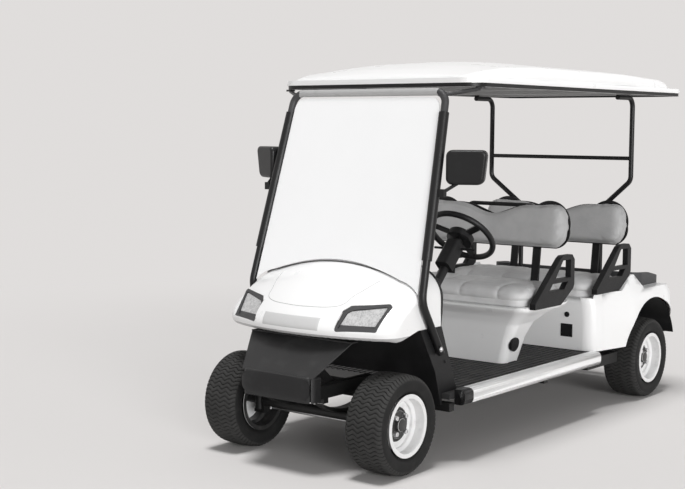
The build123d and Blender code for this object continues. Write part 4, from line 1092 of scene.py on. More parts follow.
@dataclass
class Studio:
    """The pale floor, the lamps and the camera of the photograph."""

    image_width: float = 685.0
    focal_pixels: float = 1303.0
    sensor: float = 36.0
    position: Point = (3.816, -5.898, 1.554)
    yaw: float = 38.3
    pitch: float = 5.18
    roll: float = 0.33
    backdrop: Colour = (0.745, 0.725, 0.715)
    paper: Colour = (0.715, 0.696, 0.686)
    sky: float = 0.26
    floor_radius: float = 60.0
    fade_start: float = 3.2
    fade_end: float = 6.5
    lamp_distance: float = 8.0

    def camera(self) -> None:
        """Place the camera where the photograph was taken."""
        yaw, pitch, roll = (math.radians(a) for a in (self.yaw, self.pitch, self.roll))
        level = math.cos(pitch)
        forward = Vector((-math.sin(yaw) * level, math.cos(yaw) * level, -math.sin(pitch)))
        right = Vector((math.cos(yaw), math.sin(yaw), 0.0))
        up = right.cross(forward)
        right, up = (
            math.cos(roll) * right + math.sin(roll) * up,
            math.cos(roll) * up - math.sin(roll) * right,
        )
        bpy.ops.object.select_all(action="DESELECT")
        bpy.ops.object.camera_add()
        camera = bpy.context.object
        camera.name = "studio_camera"
        camera.matrix_world = Matrix((
            (right.x, up.x, -forward.x, self.position[0]),
            (right.y, up.y, -forward.y, self.position[1]),
            (right.z, up.z, -forward.z, self.position[2]),
            (0, 0, 0, 1),
        ))
        camera.data.sensor_width = self.sensor
        camera.data.lens = self.focal_pixels / self.image_width * self.sensor
        bpy.context.scene.camera = camera

    @staticmethod
    def seen(tree: bpy.types.NodeTree) -> bpy.types.NodeSocket:
        """Return a socket that is 1 for rays that show the background, straight or in a piece.

        Args:
            tree: The node tree to add to.

        Returns:
            The socket.
        """
        path = tree.nodes.new("ShaderNodeLightPath")
        total = path.outputs["Is Camera Ray"]
        for ray in ("Is Glossy Ray", "Is Transmission Ray"):
            either = tree.nodes.new("ShaderNodeMath")
            either.operation = "MAXIMUM"
            tree.links.new(total, either.inputs[0])
            tree.links.new(path.outputs[ray], either.inputs[1])
            total = either.outputs[0]
        return total

    def floor(self) -> None:
        """Lay the floor, which fades into the backdrop's colour away from the cart."""
        bpy.ops.object.select_all(action="DESELECT")
        bpy.ops.mesh.primitive_circle_add(vertices=96, radius=self.floor_radius, fill_type="NGON")
        floor = Bench.named("studio_floor")
        shader = Shader("studio_floor_paper")
        across, along, _ = shader.axes()
        distance = (across * across + along * along).root()
        paint = shader.node("ShaderNodeBsdfDiffuse", {}, {"Color": (*self.paper, 1.0)})
        glow = shader.node("ShaderNodeEmission", {}, {"Color": (*self.backdrop, 1.0), "Strength": 1.0})
        seen = Signal(shader, self.seen(shader.tree))
        factor = distance.rise(self.fade_start, self.fade_end) * seen
        inputs = {0: factor, 1: paint.outputs[0], 2: glow.outputs[0]}
        mixed = shader.node("ShaderNodeMixShader", {}, inputs)
        shader.tree.links.new(mixed.outputs[0], shader.output.inputs["Surface"])
        Bench.dress(floor, shader.material)

    def world(self) -> None:
        """Light the scene evenly, and show the backdrop's colour behind it."""
        world = bpy.data.worlds.new("studio_world")
        bpy.context.scene.world = world
        world.use_nodes = True
        tree = world.node_tree
        tree.nodes.clear()
        output = tree.nodes.new("ShaderNodeOutputWorld")
        lit = tree.nodes.new("ShaderNodeBackground")
        lit.inputs[0].default_value = (1.0, 1.0, 1.0, 1.0)
        lit.inputs[1].default_value = self.sky
        shown = tree.nodes.new("ShaderNodeBackground")
        shown.inputs[0].default_value = (*self.backdrop, 1.0)
        mixed = tree.nodes.new("ShaderNodeMixShader")
        tree.links.new(self.seen(tree), mixed.inputs[0])
        tree.links.new(lit.outputs[0], mixed.inputs[1])
        tree.links.new(shown.outputs[0], mixed.inputs[2])
        tree.links.new(mixed.outputs[0], output.inputs["Surface"])

    def sun(self, name: str, source: Point, angle: float, strength: float) -> None:
        """Hang a far, soft lamp.

        Args:
            name: Its name.
            source: The direction that its light comes from.
            angle: Its apparent width in degrees.
            strength: Its strength in watts per square metre.
        """
        bpy.ops.object.select_all(action="DESELECT")
        bpy.ops.object.light_add(type="SUN", location=Vector(source) * self.lamp_distance)
        lamp = bpy.context.object
        lamp.name = name
        lamp.data.angle = math.radians(angle)
        lamp.data.energy = strength
        lamp.rotation_euler = (-Vector(source)).to_track_quat("-Z", "Y").to_euler()

    def build(self) -> None:
        """Set up the whole studio."""
        bpy.context.scene.view_settings.view_transform = "Standard"
        self.camera()
        self.floor()
        self.world()
        self.sun("overhead_bank", (0.0, -0.10, 1.0), angle=15.0, strength=2.1)
        self.sun("side_bank", (0.85, -0.50, 0.12), angle=30.0, strength=2.4)


@dataclass
class Tyre:
    """A turf tyre: a spun carcass under rows of wavy tread bars."""

    finishes: Finishes
    crown_radius: float = 0.2243
    tread_radius: float = 0.2295
    tread_half: float = 0.074
    shoulder_half: float = 0.0975
    shoulder_drop: float = 0.016
    crown_drop: float = 0.0045
    bars: int = 66
    bar_width: float = 0.0165
    bar_profile: Table = (
        # share of the bar's width, depth below the tread
        (-0.62, 0.0085), (-0.5, 0.0012), (-0.36, 0.0), (0.36, 0.0), (0.5, 0.0012), (0.62, 0.0085),
    )
    wave: float = 0.0066
    period: float = 0.054
    phase: float = 0.4
    points: int = 40
    steps: int = 96

    def carcass_outline(self) -> list[tuple[float, float]]:
        """Return the carcass's outline from bead to bead, as offset and radius.

        Returns:
            The outline.
        """
        half = [
            (0.0665, 0.1292), (0.0705, 0.1345), (0.0745, 0.1400), (0.0795, 0.1425), (0.0860, 0.1480),
            (0.0925, 0.1570), (0.0940, 0.1578), (0.0955, 0.1600), (0.0985, 0.1690), (0.1005, 0.1790),
            (0.1012, 0.1880), (0.1005, 0.1960), (0.0985, 0.2030), (0.0950, 0.2090), (0.0900, 0.2140),
            (0.0800, 0.2185), (0.0600, 0.2218), (0.0300, 0.2238), (0.0, self.crown_radius),
        ]
        return half + [(-x, r) for x, r in reversed(half[:-1])]

    def surface_radius(self, offset: float) -> float:
        """Return the tread's radius at an offset from the tyre's middle.

        Args:
            offset: The offset along the axle.

        Returns:
            The radius.
        """
        share = min(abs(offset) / self.tread_half, 1.0)
        radius = self.tread_radius - self.crown_drop * share ** 2
        if abs(offset) > self.tread_half:
            over = (abs(offset) - self.tread_half) / (self.shoulder_half - self.tread_half)
            radius -= self.shoulder_drop * over ** 2
        return radius

    def bar(self, mesh: bmesh.types.BMesh, turn: float) -> None:
        """Add one wavy bar across the tread, at an angle round the wheel.

        Args:
            mesh: The mesh to add to.
            turn: The angle round the wheel, in radians.
        """
        rows = []
        for step in range(self.points + 1):
            offset = -self.shoulder_half + 2 * self.shoulder_half * step / self.points
            sway = self.wave * math.sin(math.tau * offset / self.period + self.phase)
            top = self.surface_radius(offset)
            row = []
            for side, depth in self.bar_profile:
                angle = turn + (sway + side * self.bar_width) / self.tread_radius
                radius = top - depth
                point = (offset, radius * math.sin(angle), radius * math.cos(angle))
                row.append(mesh.verts.new(point))
            rows.append(row)
        for first, second in zip(rows, rows[1:]):
            for index in range(len(first) - 1):
                mesh.faces.new((first[index], first[index + 1], second[index + 1], second[index]))
        mesh.faces.new(list(reversed(rows[0])))
        mesh.faces.new(rows[-1])

    def model(self) -> Piece:
        """Return one tyre, centred on the origin.

        Returns:
            The tyre.
        """
        carcass = Bench.ring("tyre_model", self.carcass_outline(), self.steps)
        mesh = bmesh.new()
        pitch = math.tau / self.bars
        for index in range(self.bars):
            self.bar(mesh, pitch * index)
        bars = bpy.data.meshes.new("tread_bars")
        mesh.to_mesh(bars)
        mesh.free()
        tread = Bench.placed("tread_bars", bars)
        Bench.outward(tread)
        Bench.dress(carcass, self.finishes.tyre)
        Bench.dress(tread, self.finishes.tread)
        return Bench.join("tyre_model", [carcass, tread])

    def build(self) -> None:
        """Put a tyre on each wheel."""
        model = self.model()
        for corner in CORNERS:
            node = f"tyre_{corner}"
            tyre = Bench.copied(model, f"turf_{node}", wheel_place(corner))
            Bench.smooth(tyre, 38.0)
            Bench.seat(tyre, f"wheel_{corner}", Slot.TYRE, node)
        bpy.data.objects.remove(model)


@dataclass
class Seats:
    """Bench cushions and two-lobed backrests in sewn vinyl, filled by a short cloth simulation."""

    finishes: Finishes
    cuts: int = 63
    shrink: float = 0.004
    voxel: float = 0.008
    pressure: float = 4.0
    frames: int = 20
    quality: int = 5
    cap: float = 0.010
    base_blend: float = 0.020
    seam_width: float = 0.0055
    corner: float = 0.095
    crown_side: float = 0.07
    crown_front: float = 0.08
    height_share: float = 0.975
    panel_seams: tuple[float, ...] = (-0.320, -0.088, 0.088, 0.320)
    panel_stitch: float = 0.0025
    panel_valley: float = 0.0040
    valley_spread: float = 3.5
    front_seam: float = 0.105
    front_seam_depth: float = 0.0050
    rear_seam: float = 0.060
    rear_seam_depth: float = 0.0040
    crease_height: float = 0.032
    crease_depth: float = 0.0060
    crease_blend: float = 0.01
    deepest: float = 0.0075
    skirt: Table = (
        # share of the height, inset
        (0.0, 0.016), (0.15, 0.011), (0.28, 0.008), (0.34, 0.012), (0.42, 0.005),
        (0.58, 0.0), (0.74, 0.001), (0.87, 0.007), (0.95, 0.015), (1.0, 0.026),
    )
    back_half: float = 0.478
    back_height: float = 0.252
    back_thickness: float = 0.075
    back_lean: float = 7.0
    back_dip: float = 0.054
    back_lobe: float = 0.56
    dip_power: float = 1.35
    shoulder_drop: float = 0.5
    shoulder_power: float = 6.5
    heel_width: float = 0.078
    heel_rise: float = 0.47
    even_share: float = 0.65
    rim_start: float = 0.84
    rim_inset: float = 0.014
    front_set: float = 0.012
    roll_start: float = 0.78
    roll_depth: float = 0.020
    roll_power: float = 2.4
    belly: float = 0.006
    piping_depth: float = 0.0045
    piping_place: float = 0.046
    hem_depth: float = 0.0030
    hem_height: float = 0.020
    hem_share: float = 0.93

    @staticmethod
    def between(table: Table, share: float) -> float:
        """Return a table's value at a share, drawn straight between its rows.

        Args:
            table: Rows of a share and its value.
            share: The share to look up.

        Returns:
            The value.
        """
        for (low, first), (high, second) in zip(table, table[1:]):
            if share <= high:
                return first + (second - first) * (share - low) / (high - low)
        return table[-1][1]

    @staticmethod
    def cube(name: str, cuts: int) -> Piece:
        """Add a cube of half size 1 with cut faces.

        Args:
            name: The piece's name.
            cuts: The cuts across each face.

        Returns:
            The cube.
        """
        bpy.ops.object.select_all(action="DESELECT")
        bpy.ops.mesh.primitive_cube_add(size=2.0)
        piece = Bench.named(name)
        bpy.ops.object.mode_set(mode="EDIT")
        bpy.ops.mesh.select_all(action="SELECT")
        bpy.ops.mesh.subdivide(number_cuts=cuts)
        bpy.ops.object.mode_set(mode="OBJECT")
        return piece

    def fill(self, piece: Piece, floor: float) -> None:
        """Puff a pad up by cloth pressure, with each point's way capped.

        Args:
            piece: The pad, which gets an even mesh.
            floor: The height of its base, where it stays flat.
        """
        Bench.modify(piece, "REMESH", mode="VOXEL", voxel_size=self.voxel)
        start = [vertex.co.copy() for vertex in piece.data.vertices]
        cloth = piece.modifiers.new("fill", "CLOTH")
        cloth.settings.quality = self.quality
        cloth.settings.use_pressure = True
        cloth.settings.uniform_pressure_force = self.pressure
        cloth.settings.effector_weights.gravity = 0.0
        cloth.collision_settings.use_collision = False
        cloth.point_cache.frame_start = 1
        cloth.point_cache.frame_end = self.frames
        scene = bpy.context.scene
        for frame in range(1, self.frames + 1):
            scene.frame_set(frame)
        filled = piece.evaluated_get(bpy.context.evaluated_depsgraph_get()).data
        ends = [vertex.co.copy() for vertex in filled.vertices]
        piece.modifiers.remove(cloth)
        scene.frame_set(1)
        for vertex, first, last in zip(piece.data.vertices, start, ends):
            step = last - first
            if step.length > self.cap:
                step *= self.cap / step.length
            vertex.co = first + step * clamped((first.z - floor) / self.base_blend)
        Bench.modify(piece, "SUBSURF", levels=1, render_levels=1)

    def press(self, piece: Piece, depth: Callable[[Vector, Vector], float]) -> None:
        """Press sewn lines into a pad along its normals.

        Args:
            piece: The pad.
            depth: Gives the depth for a point and its normal.
        """
        vertices = piece.data.vertices
        steps = [vertex.normal * depth(vertex.co, vertex.normal) for vertex in vertices]
        for vertex, step in zip(vertices, steps):
            vertex.co -= step
        Bench.smooth(piece, 180.0)

    def line(self, distance: float, spread: float = 1.0) -> float:
        """Return a seam's share of depth at a distance from its middle."""
        return math.exp(-(distance / (self.seam_width * spread)) ** 2)

    def cushion(self, name: str, node: str) -> Piece:
        """Shape one bench cushion in the place of a CAD node.

        Args:
            name: The piece's name.
            node: The CAD node.

        Returns:
            The cushion.
        """
        low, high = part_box(node)
        middle = (low + high) / 2
        half_x, half_y = (high.x - low.x) / 2, (high.y - low.y) / 2
        depth = high.z - low.z
        piece = self.cube(name, self.cuts)
        for vertex in piece.data.vertices:
            unit = vertex.co.copy()
            up = (unit.z + 1) / 2
            inset = self.between(self.skirt, up) + self.shrink
            x, y = unit.x * half_x, unit.y * half_y
            straight_x, straight_y = half_x - self.corner, half_y - self.corner
            over_x, over_y = abs(x) - straight_x, abs(y) - straight_y
            if over_x > 0 and over_y > 0:
                ratio = max(over_x, over_y) / math.hypot(over_x, over_y)
                x = math.copysign(straight_x + over_x * ratio, x)
                y = math.copysign(straight_y + over_y * ratio, y)
            x *= 1 - inset / half_x
            y *= 1 - inset / half_y
            crown = 1 - self.crown_side * abs(unit.x) ** 5 - self.crown_front * abs(unit.y) ** 4
            height = depth * up * crown * self.height_share
            vertex.co = (middle.x + x, middle.y + y, low.z + height)
        self.fill(piece, low.z)

        def sewn(point: Vector, normal: Vector) -> float:
            """Return the depth of the cushion's seams at a point.

            Args:
                point: The point.
                normal: Its normal.

            Returns:
                The depth.
            """
            height = point.z - low.z
            if normal.z < -0.5:
                return 0.0
            total = 0.0
            above = clamped((height - self.crease_height) / self.crease_blend)
            for place in self.panel_seams:
                stitch = self.panel_stitch * self.line(point.x - place)
                valley = self.panel_valley * self.line(point.x - place, self.valley_spread)
                total += (stitch + valley) * above
            if normal.z > 0.6:
                total += self.front_seam_depth * self.line(point.y - (low.y + self.front_seam))
                total += self.rear_seam_depth * self.line(point.y - (high.y - self.rear_seam))
            else:
                total += self.crease_depth * self.line(height - self.crease_height)
            return min(total, self.deepest)

        self.press(piece, sewn)
        return piece

    def back_edge(self, share: float, inset: float) -> float:
        """Return the height of the backrest's top at a share of its half width.

        Args:
            share: The share, from -1 to 1.
            inset: How far the outline is drawn in.

        Returns:
            The height above the backrest's foot.
        """
        half = self.back_half - inset
        x = abs(share) * half
        lobe = half * self.back_lobe
        top = self.back_height - inset
        if x < lobe:
            dip = 0.5 + 0.5 * math.cos(math.pi * x / lobe)
            return top - self.back_dip * dip ** self.dip_power
        over = (x - lobe) / (half - lobe)
        return top - top * self.shoulder_drop * fall_off(over, self.shoulder_power)

    def back_base(self, share: float, inset: float) -> float:
        """Return the height of the backrest's lower edge at a share of its half width.

        Args:
            share: The share, from -1 to 1.
            inset: How far the outline is drawn in.

        Returns:
            The height above the backrest's foot.
        """
        half = self.back_half - inset
        x = abs(share) * half
        start = half - self.heel_width
        if x < start:
            return inset
        over = (x - start) / (half - start)
        return inset + self.back_height * self.heel_rise * fall_off(over, 2.0)

    def backrest(self, name: str, node: str) -> Piece:
        """Shape one backrest pad in the place of a CAD node.

        Args:
            name: The piece's name.
            node: The CAD node.

        Returns:
            The backrest pad.
        """
        low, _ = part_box(node)
        lean = math.radians(self.back_lean)
        back = Vector((0, math.cos(lean), -math.sin(lean)))
        up = Vector((0, math.sin(lean), math.cos(lean)))
        corner = Vector((0, low.y, low.z + self.back_thickness * math.sin(lean)))
        piece = self.cube(name, self.cuts)
        for vertex in piece.data.vertices:
            across, deep, rise = vertex.co
            edge = max(abs(across), abs(rise))
            front = max(0.0, -deep)
            rim = max(0.0, (edge - self.rim_start) / (1 - self.rim_start))
            inset = self.shrink + self.rim_inset * rim ** 2 * front
            bunched = math.sin(across * math.pi / 2) * (1 - self.even_share)
            share = bunched + across * self.even_share
            bottom = self.back_base(share, inset)
            top = self.back_edge(share, inset)
            height = bottom + (top - bottom) * (rise + 1) / 2
            x = share * (self.back_half - inset)
            depth = self.back_thickness * (deep + 1) / 2
            roll = max(0.0, (edge - self.roll_start) / (1 - self.roll_start))
            depth += front * (self.front_set + self.roll_depth * roll ** self.roll_power)
            depth -= front * (1 - abs(rise) ** 3) * (1 - abs(across) ** 5) * self.belly
            vertex.co = corner + up * height + Vector((x, 0, 0)) + back * depth
        self.fill(piece, low.z - 1.0)

        def sewn(point: Vector, normal: Vector) -> float:
            """Return the depth of the backrest's seams at a point.

            Args:
                point: The point.
                normal: Its normal.

            Returns:
                The depth.
            """
            away = -(normal.dot(back))
            if away < 0.35:
                return self.piping_depth * self.line(back.dot(point - corner) - self.piping_place)
            height = up.dot(point - corner)
            share = point.x / self.back_half
            inside = height - self.back_base(share, 0.0)
            if abs(share) >= self.hem_share:
                return 0.0
            return self.hem_depth * self.line(inside - self.hem_height)

        self.press(piece, sewn)
        return piece

    def build(self) -> None:
        """Make and place the four pads."""
        for row in ("front", "rear"):
            pad = self.cushion(f"{row}_seat_cushion", f"{row}_cushion")
            Bench.dress(pad, self.finishes.seat)
            Bench.seat(pad, CHASSIS, Slot.SEAT, f"{row}_cushion")
            back = self.backrest(f"{row}_seat_back", f"{row}_backrest")
            Bench.dress(back, self.finishes.back)
            Bench.seat(back, CHASSIS, Slot.SEAT, f"{row}_backrest")


@dataclass
class Hubs:
    """The black hub with its cap and bright nuts in each wheel's dish, and painted shade in black on
    each rim's inboard side.
    """

    finishes: Finishes
    made: dict[str, Piece]
    studs: int = 4
    first_stud: float = 45.0
    stud_circle: float = 0.0508
    hub_steps: int = 64
    nut_sides: int = 6
    outline: Table = (
        # offset outwards, radius
        (0.0262, 0.0790), (0.0300, 0.0785), (0.0320, 0.0765), (0.0322, 0.0720), (0.0300, 0.0700),
        (0.0300, 0.0640), (0.0400, 0.0630), (0.0432, 0.0605), (0.0434, 0.0330), (0.0560, 0.0312),
        (0.0605, 0.0290), (0.0625, 0.0200), (0.0630, 0.0),
    )
    nut: Table = (
        # offset outwards, radius
        (0.0420, 0.0118), (0.0570, 0.0118), (0.0605, 0.0102), (0.0630, 0.0070), (0.0640, 0.0),
    )
    # how far outboard the rim's painted shade reaches, on walls and on other faces
    shade_wall: float = 0.0215
    shade_face: float = 0.018
    inner_edge: float = -0.088
    steep: float = 0.3

    def build(self) -> None:
        """Put a hub in each wheel."""
        hub = Bench.ring("hub_model", self.outline, self.hub_steps)
        Bench.dress(hub, self.finishes.hub)
        parts = [hub]
        for index in range(self.studs):
            angle = math.radians(360 / self.studs * index + self.first_stud)
            spot = Vector((0, math.sin(angle), math.cos(angle))) * self.stud_circle
            nut = Bench.ring("nut_model", self.nut, self.nut_sides)
            nut.data.transform(Matrix.Translation(spot))
            Bench.dress(nut, self.finishes.plate)
            parts.append(nut)
        model = Bench.join("hub_model", parts)
        for corner in CORNERS:
            place = wheel_place(corner)
            piece = Bench.copied(model, f"black_hub_{corner}", place)
            Bench.smooth(piece, 28.0)
            Bench.seat(piece, f"wheel_{corner}", Slot.FRAME)
            self.paint_inboard_shade(self.made[f"rim_{corner}"], place.translation.x, side_of(corner))
        bpy.data.objects.remove(model)

    def paint_inboard_shade(self, rim: Piece, middle: float, side: int) -> None:
        """Paint shade onto a rim's inboard side, in the hub's black.

        Args:
            rim: The rim.
            middle: The X of its middle.
            side: 1 on the driver's side and -1 on the other.
        """
        Bench.dress(rim, self.finishes.rim, self.finishes.hub)

        def wall(normal: Vector) -> bool:
            """Return whether a face stands along the axle."""
            return abs(normal.x) < self.steep

        def out(centre: Vector) -> float:
            """Return how far outboard of the rim's middle a face lies."""
            return (centre.x - middle) * side

        Bench.paint(rim, 1, lambda c, n: out(c) < (self.shade_wall if wall(n) else self.shade_face))
        Bench.paint(rim, 0, lambda c, n: out(c) < self.inner_edge and wall(n))


class Skin:
    """A piece's surface, for laying trim on it."""

    def __init__(self, piece: Piece) -> None:
        """Index the piece's faces.

        Args:
            piece: The piece whose surface it is.
        """
        mesh = piece.data
        corners = [vertex.co for vertex in mesh.vertices]
        self.tree = BVHTree.FromPolygons(corners, [face.vertices for face in mesh.polygons])

    def below(self, x: float, y: float, lift: float) -> Vector:
        """Return the point of the skin under a place, lifted off it along its normal."""
        return self.point((x, y, ABOVE_HOOD), (0, 0, -1), lift)

    def point(self, start: Point, way: Point, lift: float) -> Vector:
        """Return where a ray meets the surface, lifted off it along its normal.

        Args:
            start: Where the ray starts.
            way: Its direction.
            lift: The lift.

        Returns:
            The lifted point.
        """
        place, normal, _, _ = self.tree.ray_cast(Vector(start), Vector(way).normalized())
        if place is None:
            raise ValueError(f"no surface seen from {start}")
        return place + normal * lift


@dataclass
class Nose:
    """Trim on the nose: seal, edge strips, painted crease shade, blank pad, lamp bands, painted lip
    shade and bumper.
    """

    finishes: Finishes
    made: dict[str, Piece]
    seal_y: float = from_axle(0.1490)
    seal_half: float = 0.44
    seal_steps: int = 44
    seal_radius: float = 0.0034
    seal_lift: float = 0.003
    edge_y: float = from_axle(0.3010)
    edge_radius: float = 0.0058
    edge_line: Table = (
        # X and Z of the cowl's rear edge
        (0.4845, 0.640), (0.4915, 0.750), (0.4850, 0.807), (0.4425, 0.8705), (0.3540, 0.9185),
    )
    line_radius: float = 0.0016
    line_sink: float = 0.0003
    line_route: Table = (
        # X and Y of the crease round the raised middle of the hood, where its shade is painted as a
        # grey line
        (0.0, -1.3925), (0.090, -1.386), (0.155, -1.3735), (0.205, -1.354), (0.230, -1.330),
        (0.240, -1.2965), (0.2665, -1.237), (0.292, -1.158),
    )
    pad_middle: float = -0.012
    pad_half: float = 0.166
    pad_low: float = 0.643
    pad_high: float = 0.698
    pad_foot: float = 0.0004
    pad_rise: float = 0.0016
    pad_bevel: float = 0.006
    pad_thickness: float = 0.002
    lamp_place: Point = (0.333, from_axle(-0.090), 0.703)
    lamp_up: Point = (-0.2005, 0.5822, 0.7880)
    lamp_band: float = -0.038
    # the lip's painted shade covers the cowl below this height and ahead of this station
    lip_top: float = 0.624
    lip_rear: float = from_axle(0.050)
    bumper_half: float = 0.202
    bumper_low: float = 0.340
    bumper_high: float = 0.444
    bumper_front: float = -1.5512
    bumper_crown: float = 0.0075
    bumper_corner: float = 0.034
    bumper_waist: float = 0.10
    bumper_thickness: float = 0.004

    def strip(
        self, name: str, points: Sequence[Vector], radius: float,
        material: bpy.types.Material, slot: Slot,
    ) -> None:
        """Lay a round strip along points.

        Args:
            name: Its name.
            points: Its middle line.
            radius: Its radius.
            material: Its finish.
            slot: The record's slot that it belongs to.
        """
        piece = Bench.tube(name, points, radius)
        Bench.dress(piece, material)
        Bench.seat(piece, CHASSIS, slot)

    def moulding(
        self, piece: Piece, thickness: float, crease: float,
        material: bpy.types.Material, slot: Slot,
    ) -> None:
        """Give a shaped sheet its wall and its finish.

        Args:
            piece: The sheet.
            thickness: The wall's thickness.
            crease: Edges sharper than this many degrees stay sharp.
            material: Its finish.
            slot: The record's slot that it belongs to.
        """
        Bench.modify(piece, "SOLIDIFY", thickness=thickness, offset=-1.0)
        Bench.outward(piece)
        Bench.smooth(piece, crease)
        Bench.dress(piece, material)
        Bench.seat(piece, CHASSIS, slot)

    def seal(self, skin: Skin) -> None:
        """Lay the dark seal at the windscreen's foot.

        Args:
            skin: The cowl's surface.
        """
        half = self.seal_steps // 2
        places = [self.seal_half * step / half for step in range(-half, half + 1)]
        points = [skin.below(x, self.seal_y, self.seal_lift) for x in places]
        self.strip("windscreen_seal", points, self.seal_radius, self.finishes.seal, Slot.TRIM)

    def edges(self) -> None:
        """Run a black strip down each rear edge of the cowl."""
        for side, label in ((1, "left"), (-1, "right")):
            points = Bench.rounded([Vector((side * x, self.edge_y, z)) for x, z in self.edge_line], 10)
            name = f"cowl_edge_strip_{label}"
            self.strip(name, points, self.edge_radius, self.finishes.smooth_trim, Slot.TRIM)

    def panel(self, skin: Skin) -> None:
        """Draw a grey line of painted shade along the crease round the raised middle of the hood.

        Args:
            skin: The cowl's surface.
        """
        half = list(self.line_route)
        full = [(-x, y) for x, y in reversed(half)] + half[1:]
        route = Bench.rounded([Vector((x, y, 0)) for x, y in full], 8)
        points = [skin.below(p.x, p.y, -self.line_sink) for p in route]
        self.strip("hood_crease_shade_line", points, self.line_radius, self.finishes.gap, Slot.BODY)

    def pad(self, skin: Skin) -> None:
        """Set the blank plate pad into the nose.

        Args:
            skin: The cowl's surface.
        """
        height = self.pad_high - self.pad_low

        def place(across: float, up: float) -> Vector:
            """Return one point of the pad's front.

            Args:
                across: The share of its width.
                up: The share of its height.

            Returns:
                The point.
            """
            x = self.pad_middle + (2 * across - 1) * self.pad_half
            z = self.pad_low + up * height
            edge = min(across, 1 - across) * 2 * self.pad_half
            rim = min(edge, min(up, 1 - up) * height)
            lift = self.pad_foot + self.pad_rise * min(rim / self.pad_bevel, 1.0)
            return skin.point((x, AHEAD_OF_NOSE, z), (0, 1, 0), lift)

        piece = Bench.sheet("blank_plate_pad", 56, 14, place)
        self.moulding(piece, self.pad_thickness, 40.0, self.finishes.pad, Slot.BODY)

    def bands(self) -> None:
        """Darken the lower edge of each lamp lens."""
        lens = self.made["headlamp_lenses"]
        Bench.dress(lens, self.finishes.lens, self.finishes.bezel)
        for side in (1, -1):
            up = Vector((side * self.lamp_up[0], self.lamp_up[1], self.lamp_up[2]))
            origin = Vector((side * self.lamp_place[0], self.lamp_place[1], self.lamp_place[2]))
            Bench.slice(lens, origin + up * self.lamp_band, up)
            Bench.paint(
                lens, 1,
                lambda c, n, o=origin, u=up, s=side: c.x * s > 0 and (c - o).dot(u) < self.lamp_band,
            )

    def lip(self) -> None:
        """Paint shade in grey on the rolled lower lip of the cowl, which faces down."""
        cowl = self.made["front_cowl"]
        Bench.slice(cowl, Vector((0, 0, self.lip_top)), UPWARD)
        Bench.dress(cowl, self.finishes.panel, self.finishes.lip)
        Bench.paint(cowl, 1, lambda c, n: c.z < self.lip_top and c.y < self.lip_rear)

    def bumper(self) -> None:
        """Crown the bumper with a rounded moulding."""
        def place(across: float, up: float) -> Vector:
            """Return one point of the moulding's front.

            Args:
                across: The share of its width.
                up: The share of its height.

            Returns:
                The point.
            """
            u, w = 2 * across - 1, 2 * up - 1
            x = u * (self.bumper_half - self.bumper_corner * fall_off(abs(w), 2.5))
            middle = (self.bumper_low + self.bumper_high) / 2
            half = (self.bumper_high - self.bumper_low) / 2
            z = middle + w * half * (1 - self.bumper_waist * abs(u) ** 4)
            crown = (1 - abs(u) ** 8) * (1 - abs(w) ** 3)
            return Vector((x, self.bumper_front - self.bumper_crown * crown, z))

        piece = Bench.sheet("crowned_bumper_moulding", 72, 24, place)
        self.moulding(piece, self.bumper_thickness, 60.0, self.finishes.smooth_trim, Slot.TRIM)

    def build(self) -> None:
        """Make all the nose's trim."""
        skin = Skin(self.made["front_cowl"])
        self.seal(skin)
        self.edges()
        self.panel(skin)
        self.pad(skin)
        self.bands()
        self.lip()
        self.bumper()


